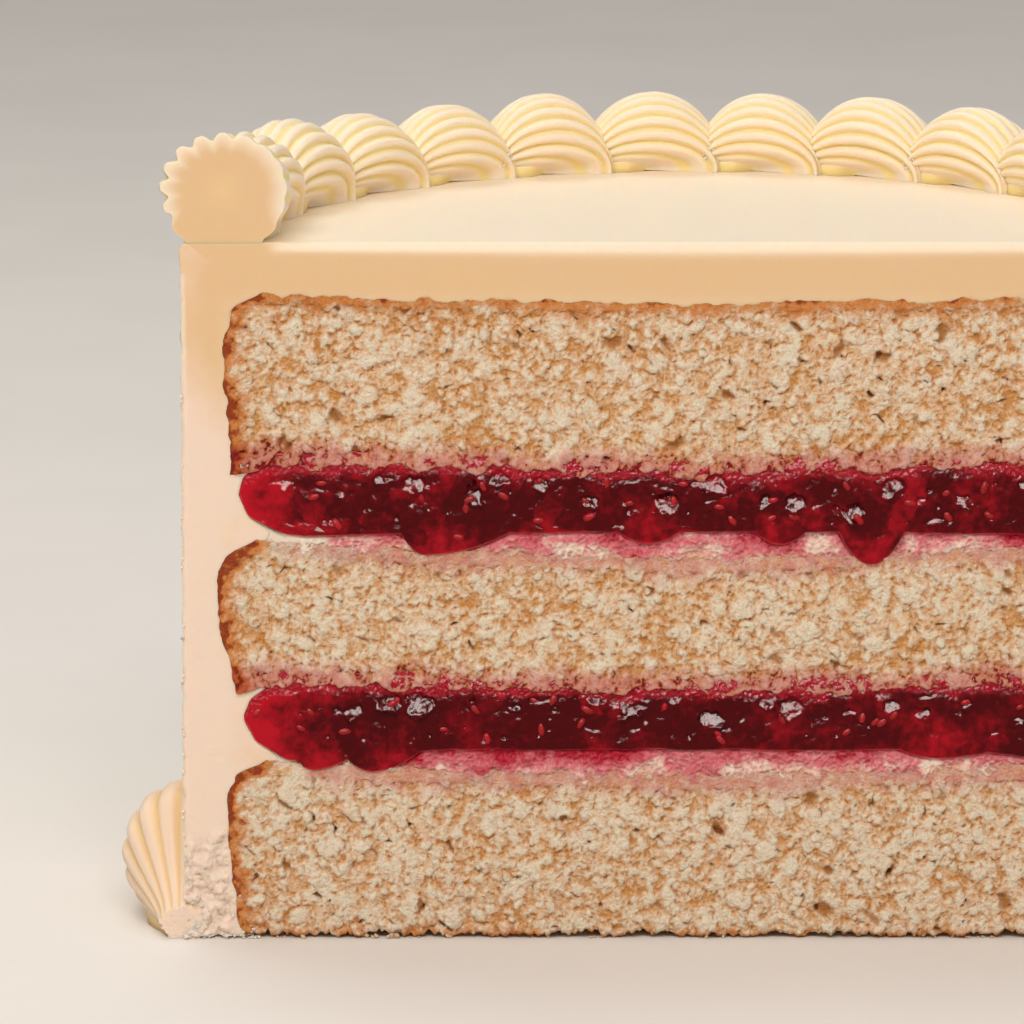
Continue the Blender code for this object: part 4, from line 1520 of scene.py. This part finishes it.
def make_top_border(material):
    """The shells round the top edge, of which the first and the last join the cut icing."""
    for number, node in enumerate(TOP_SHELLS):
        head, tail, floor, top, inner, outer = shell_place(node)
        if number == 0:
            tail = head + TOP_PITCH
        make_shell(node, "top", (head, tail), (outer + inner) / 2, floor,
                   (top - floor, outer - inner), SEEDS["top_border"] + 10 * number, material,
                   fused=number in (0, len(TOP_SHELLS) - 1))


def make_base_border(material):
    """The larger shells round the foot, of which the first tapers to the cut."""
    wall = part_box("icing")[1][0] / MM - AXIS_X
    for number, node in enumerate(BASE_SHELLS):
        head, tail, _, top, _, outer = shell_place(node)
        make_shell(node, "base", (head, tail), wall, 0.0, (top, 2 * (outer - wall)),
                   SEEDS["base_border"] + 10 * number, material,
                   BASE_TAPER if number == 0 else 1.0)


# The stage

def add_light(name, at, size, power, tint):
    """A soft rectangular light that faces the cake."""
    lamp = bpy.data.lights.new(name, "AREA")
    lamp.shape = "RECTANGLE"
    lamp.size, lamp.size_y = size
    lamp.energy = power
    lamp.color = tint
    made = bpy.data.objects.new(name, lamp)
    made.location = at
    made.rotation_euler = (Vector(LIT_AT) - Vector(at)).to_track_quat("-Z", "Y").to_euler()
    bpy.context.scene.collection.objects.link(made)


def set_world(strength):
    """Even light from all round, dimmer in reflections."""
    world = bpy.data.worlds.new("studio")
    bpy.context.scene.world = world
    world.use_nodes = True
    tree = world.node_tree
    sky = tree.nodes["Background"]
    sky.inputs["Color"].default_value = (1.0, 0.96, 0.92, 1.0)
    path = tree.nodes.new("ShaderNodeLightPath")
    dimmed = tree.nodes.new("ShaderNodeMapRange")
    dimmed.inputs["To Min"].default_value = strength
    dimmed.inputs["To Max"].default_value = strength * 0.15
    tree.links.new(path.outputs["Is Glossy Ray"], dimmed.inputs["Value"])
    tree.links.new(dimmed.outputs["Result"], sky.inputs["Strength"])


def make_stage():
    """A pale floor, soft light from above and behind, a gentler one in front, the camera."""
    look = bpy.context.scene.cake_stage
    bpy.ops.mesh.primitive_plane_add(size=FLOOR_SIZE, location=(0.0, 1.0, 0.0))
    floor = bpy.context.object
    floor.name = "floor"
    floor.data.materials.append(floor_finish())
    floor.visible_glossy = False

    set_world(look.sky)
    for light in LIGHTS:
        add_light(*light)

    camera = bpy.data.cameras.new("camera")
    camera.lens = look.lens
    camera.sensor_width = 36.0
    camera.clip_end = 20.0
    viewer = bpy.data.objects.new("camera", camera)
    viewer.location = ((AXIS_X - VIEW_LEFT) * MM, CUT_Y * MM - look.distance, VIEW_HEIGHT)
    viewer.rotation_euler = (math.pi / 2 - look.pitch, 0.0, 0.0)
    bpy.context.scene.collection.objects.link(viewer)
    bpy.context.scene.camera = viewer
    bpy.context.scene.view_settings.view_transform = "Standard"


# Operators

class CAKE_OT_sponges(bpy.types.Operator):
    """Make the three sponges"""
    bl_idname = "cake.sponges"
    bl_label = "Sponges"

    def execute(self, context):
        material = crumb_finish()
        for name in SPONGES:
            make_sponge(name, material)
        return {"FINISHED"}


class CAKE_OT_creams(bpy.types.Operator):
    """Make the thin cream under each jam"""
    bl_idname = "cake.creams"
    bl_label = "Cream"

    def execute(self, context):
        material = cream_finish()
        for name, jam in zip(CREAMS, JAMS):
            make_cream(name, jam, material)
        return {"FINISHED"}


class CAKE_OT_jams(bpy.types.Operator):
    """Make the two jam fillings with their drips"""
    bl_idname = "cake.jams"
    bl_label = "Jam"

    def execute(self, context):
        material = jam_finish()
        for name in JAMS:
            make_jam(name, material)
        return {"FINISHED"}


class CAKE_OT_seeds(bpy.types.Operator):
    """Scatter berry seeds in the jam"""
    bl_idname = "cake.seeds"
    bl_label = "Seeds"

    def execute(self, context):
        make_seeds(seed_finish())
        return {"FINISHED"}


class CAKE_OT_icing(bpy.types.Operator):
    """Make the icing coat"""
    bl_idname = "cake.icing"
    bl_label = "Icing"

    def execute(self, context):
        look = context.scene.cake_icing
        make_icing(icing_finish("icing", 0.8, look.icing, look.groove))
        return {"FINISHED"}


class CAKE_OT_top_border(bpy.types.Operator):
    """Pipe the shells round the top edge"""
    bl_idname = "cake.top_border"
    bl_label = "Top border"

    def execute(self, context):
        look = context.scene.cake_icing
        make_top_border(icing_finish("top piping", 0.8, look.icing, look.groove))
        return {"FINISHED"}


class CAKE_OT_base_border(bpy.types.Operator):
    """Pipe the shells round the foot"""
    bl_idname = "cake.base_border"
    bl_label = "Base border"

    def execute(self, context):
        look = context.scene.cake_icing
        # Painted shade: the piping round the foot is the same icing, given darker, pinker colours
        # because it lies in shade
        make_base_border(icing_finish("base piping", 0.8, look.low, look.low_groove_glow))
        return {"FINISHED"}


class CAKE_OT_crumbs(bpy.types.Operator):
    """Scatter loose crumbs and grains of icing"""
    bl_idname = "cake.crumbs"
    bl_label = "Crumbs"

    def execute(self, context):
        look = context.scene.cake_icing
        make_crumbs(crumb_finish("loose crumb"))
        make_icing_bits(icing_finish("loose icing", 1.0, look.torn, look.groove))
        return {"FINISHED"}


class CAKE_OT_stage(bpy.types.Operator):
    """Set the floor, the lights and the camera"""
    bl_idname = "cake.stage"
    bl_label = "Stage"

    def execute(self, context):
        make_stage()
        return {"FINISHED"}


OPERATORS = (
    CAKE_OT_sponges, CAKE_OT_creams, CAKE_OT_jams, CAKE_OT_seeds, CAKE_OT_icing,
    CAKE_OT_top_border, CAKE_OT_base_border, CAKE_OT_crumbs, CAKE_OT_stage)


class CAKE_PT_panel(bpy.types.Panel):
    """Sizes, colours and makers of the cake"""
    bl_idname = "CAKE_PT_panel"
    bl_label = "Layer cake"
    bl_space_type = "VIEW_3D"
    bl_region_type = "UI"
    bl_category = "Cake"

    def draw(self, context):
        for maker in OPERATORS:
            self.layout.operator(maker.bl_idname)
        for name, group in GROUPS.items():
            box = self.layout.box()
            for setting in group.__annotations__:
                box.prop(getattr(context.scene, name), setting)


def register():
    """Make the settings, operators and panel known."""
    for name, group in GROUPS.items():
        bpy.utils.register_class(group)
        setattr(bpy.types.Scene, name, bpy.props.PointerProperty(type=group))
    for kind in OPERATORS + (CAKE_PT_panel,):
        bpy.utils.register_class(kind)


def unregister():
    """Take them away again."""
    for kind in reversed(OPERATORS + (CAKE_PT_panel,)):
        bpy.utils.unregister_class(kind)
    for name, group in reversed(GROUPS.items()):
        delattr(bpy.types.Scene, name)
        bpy.utils.unregister_class(group)


def main():
    """Make the whole cake on its stage."""
    register()
    bpy.ops.cake.sponges()
    bpy.ops.cake.creams()
    bpy.ops.cake.jams()
    bpy.ops.cake.seeds()
    bpy.ops.cake.icing()
    bpy.ops.cake.top_border()
    bpy.ops.cake.base_border()
    bpy.ops.cake.crumbs()
    bpy.ops.cake.stage()


if __name__ == "__main__":
    main()
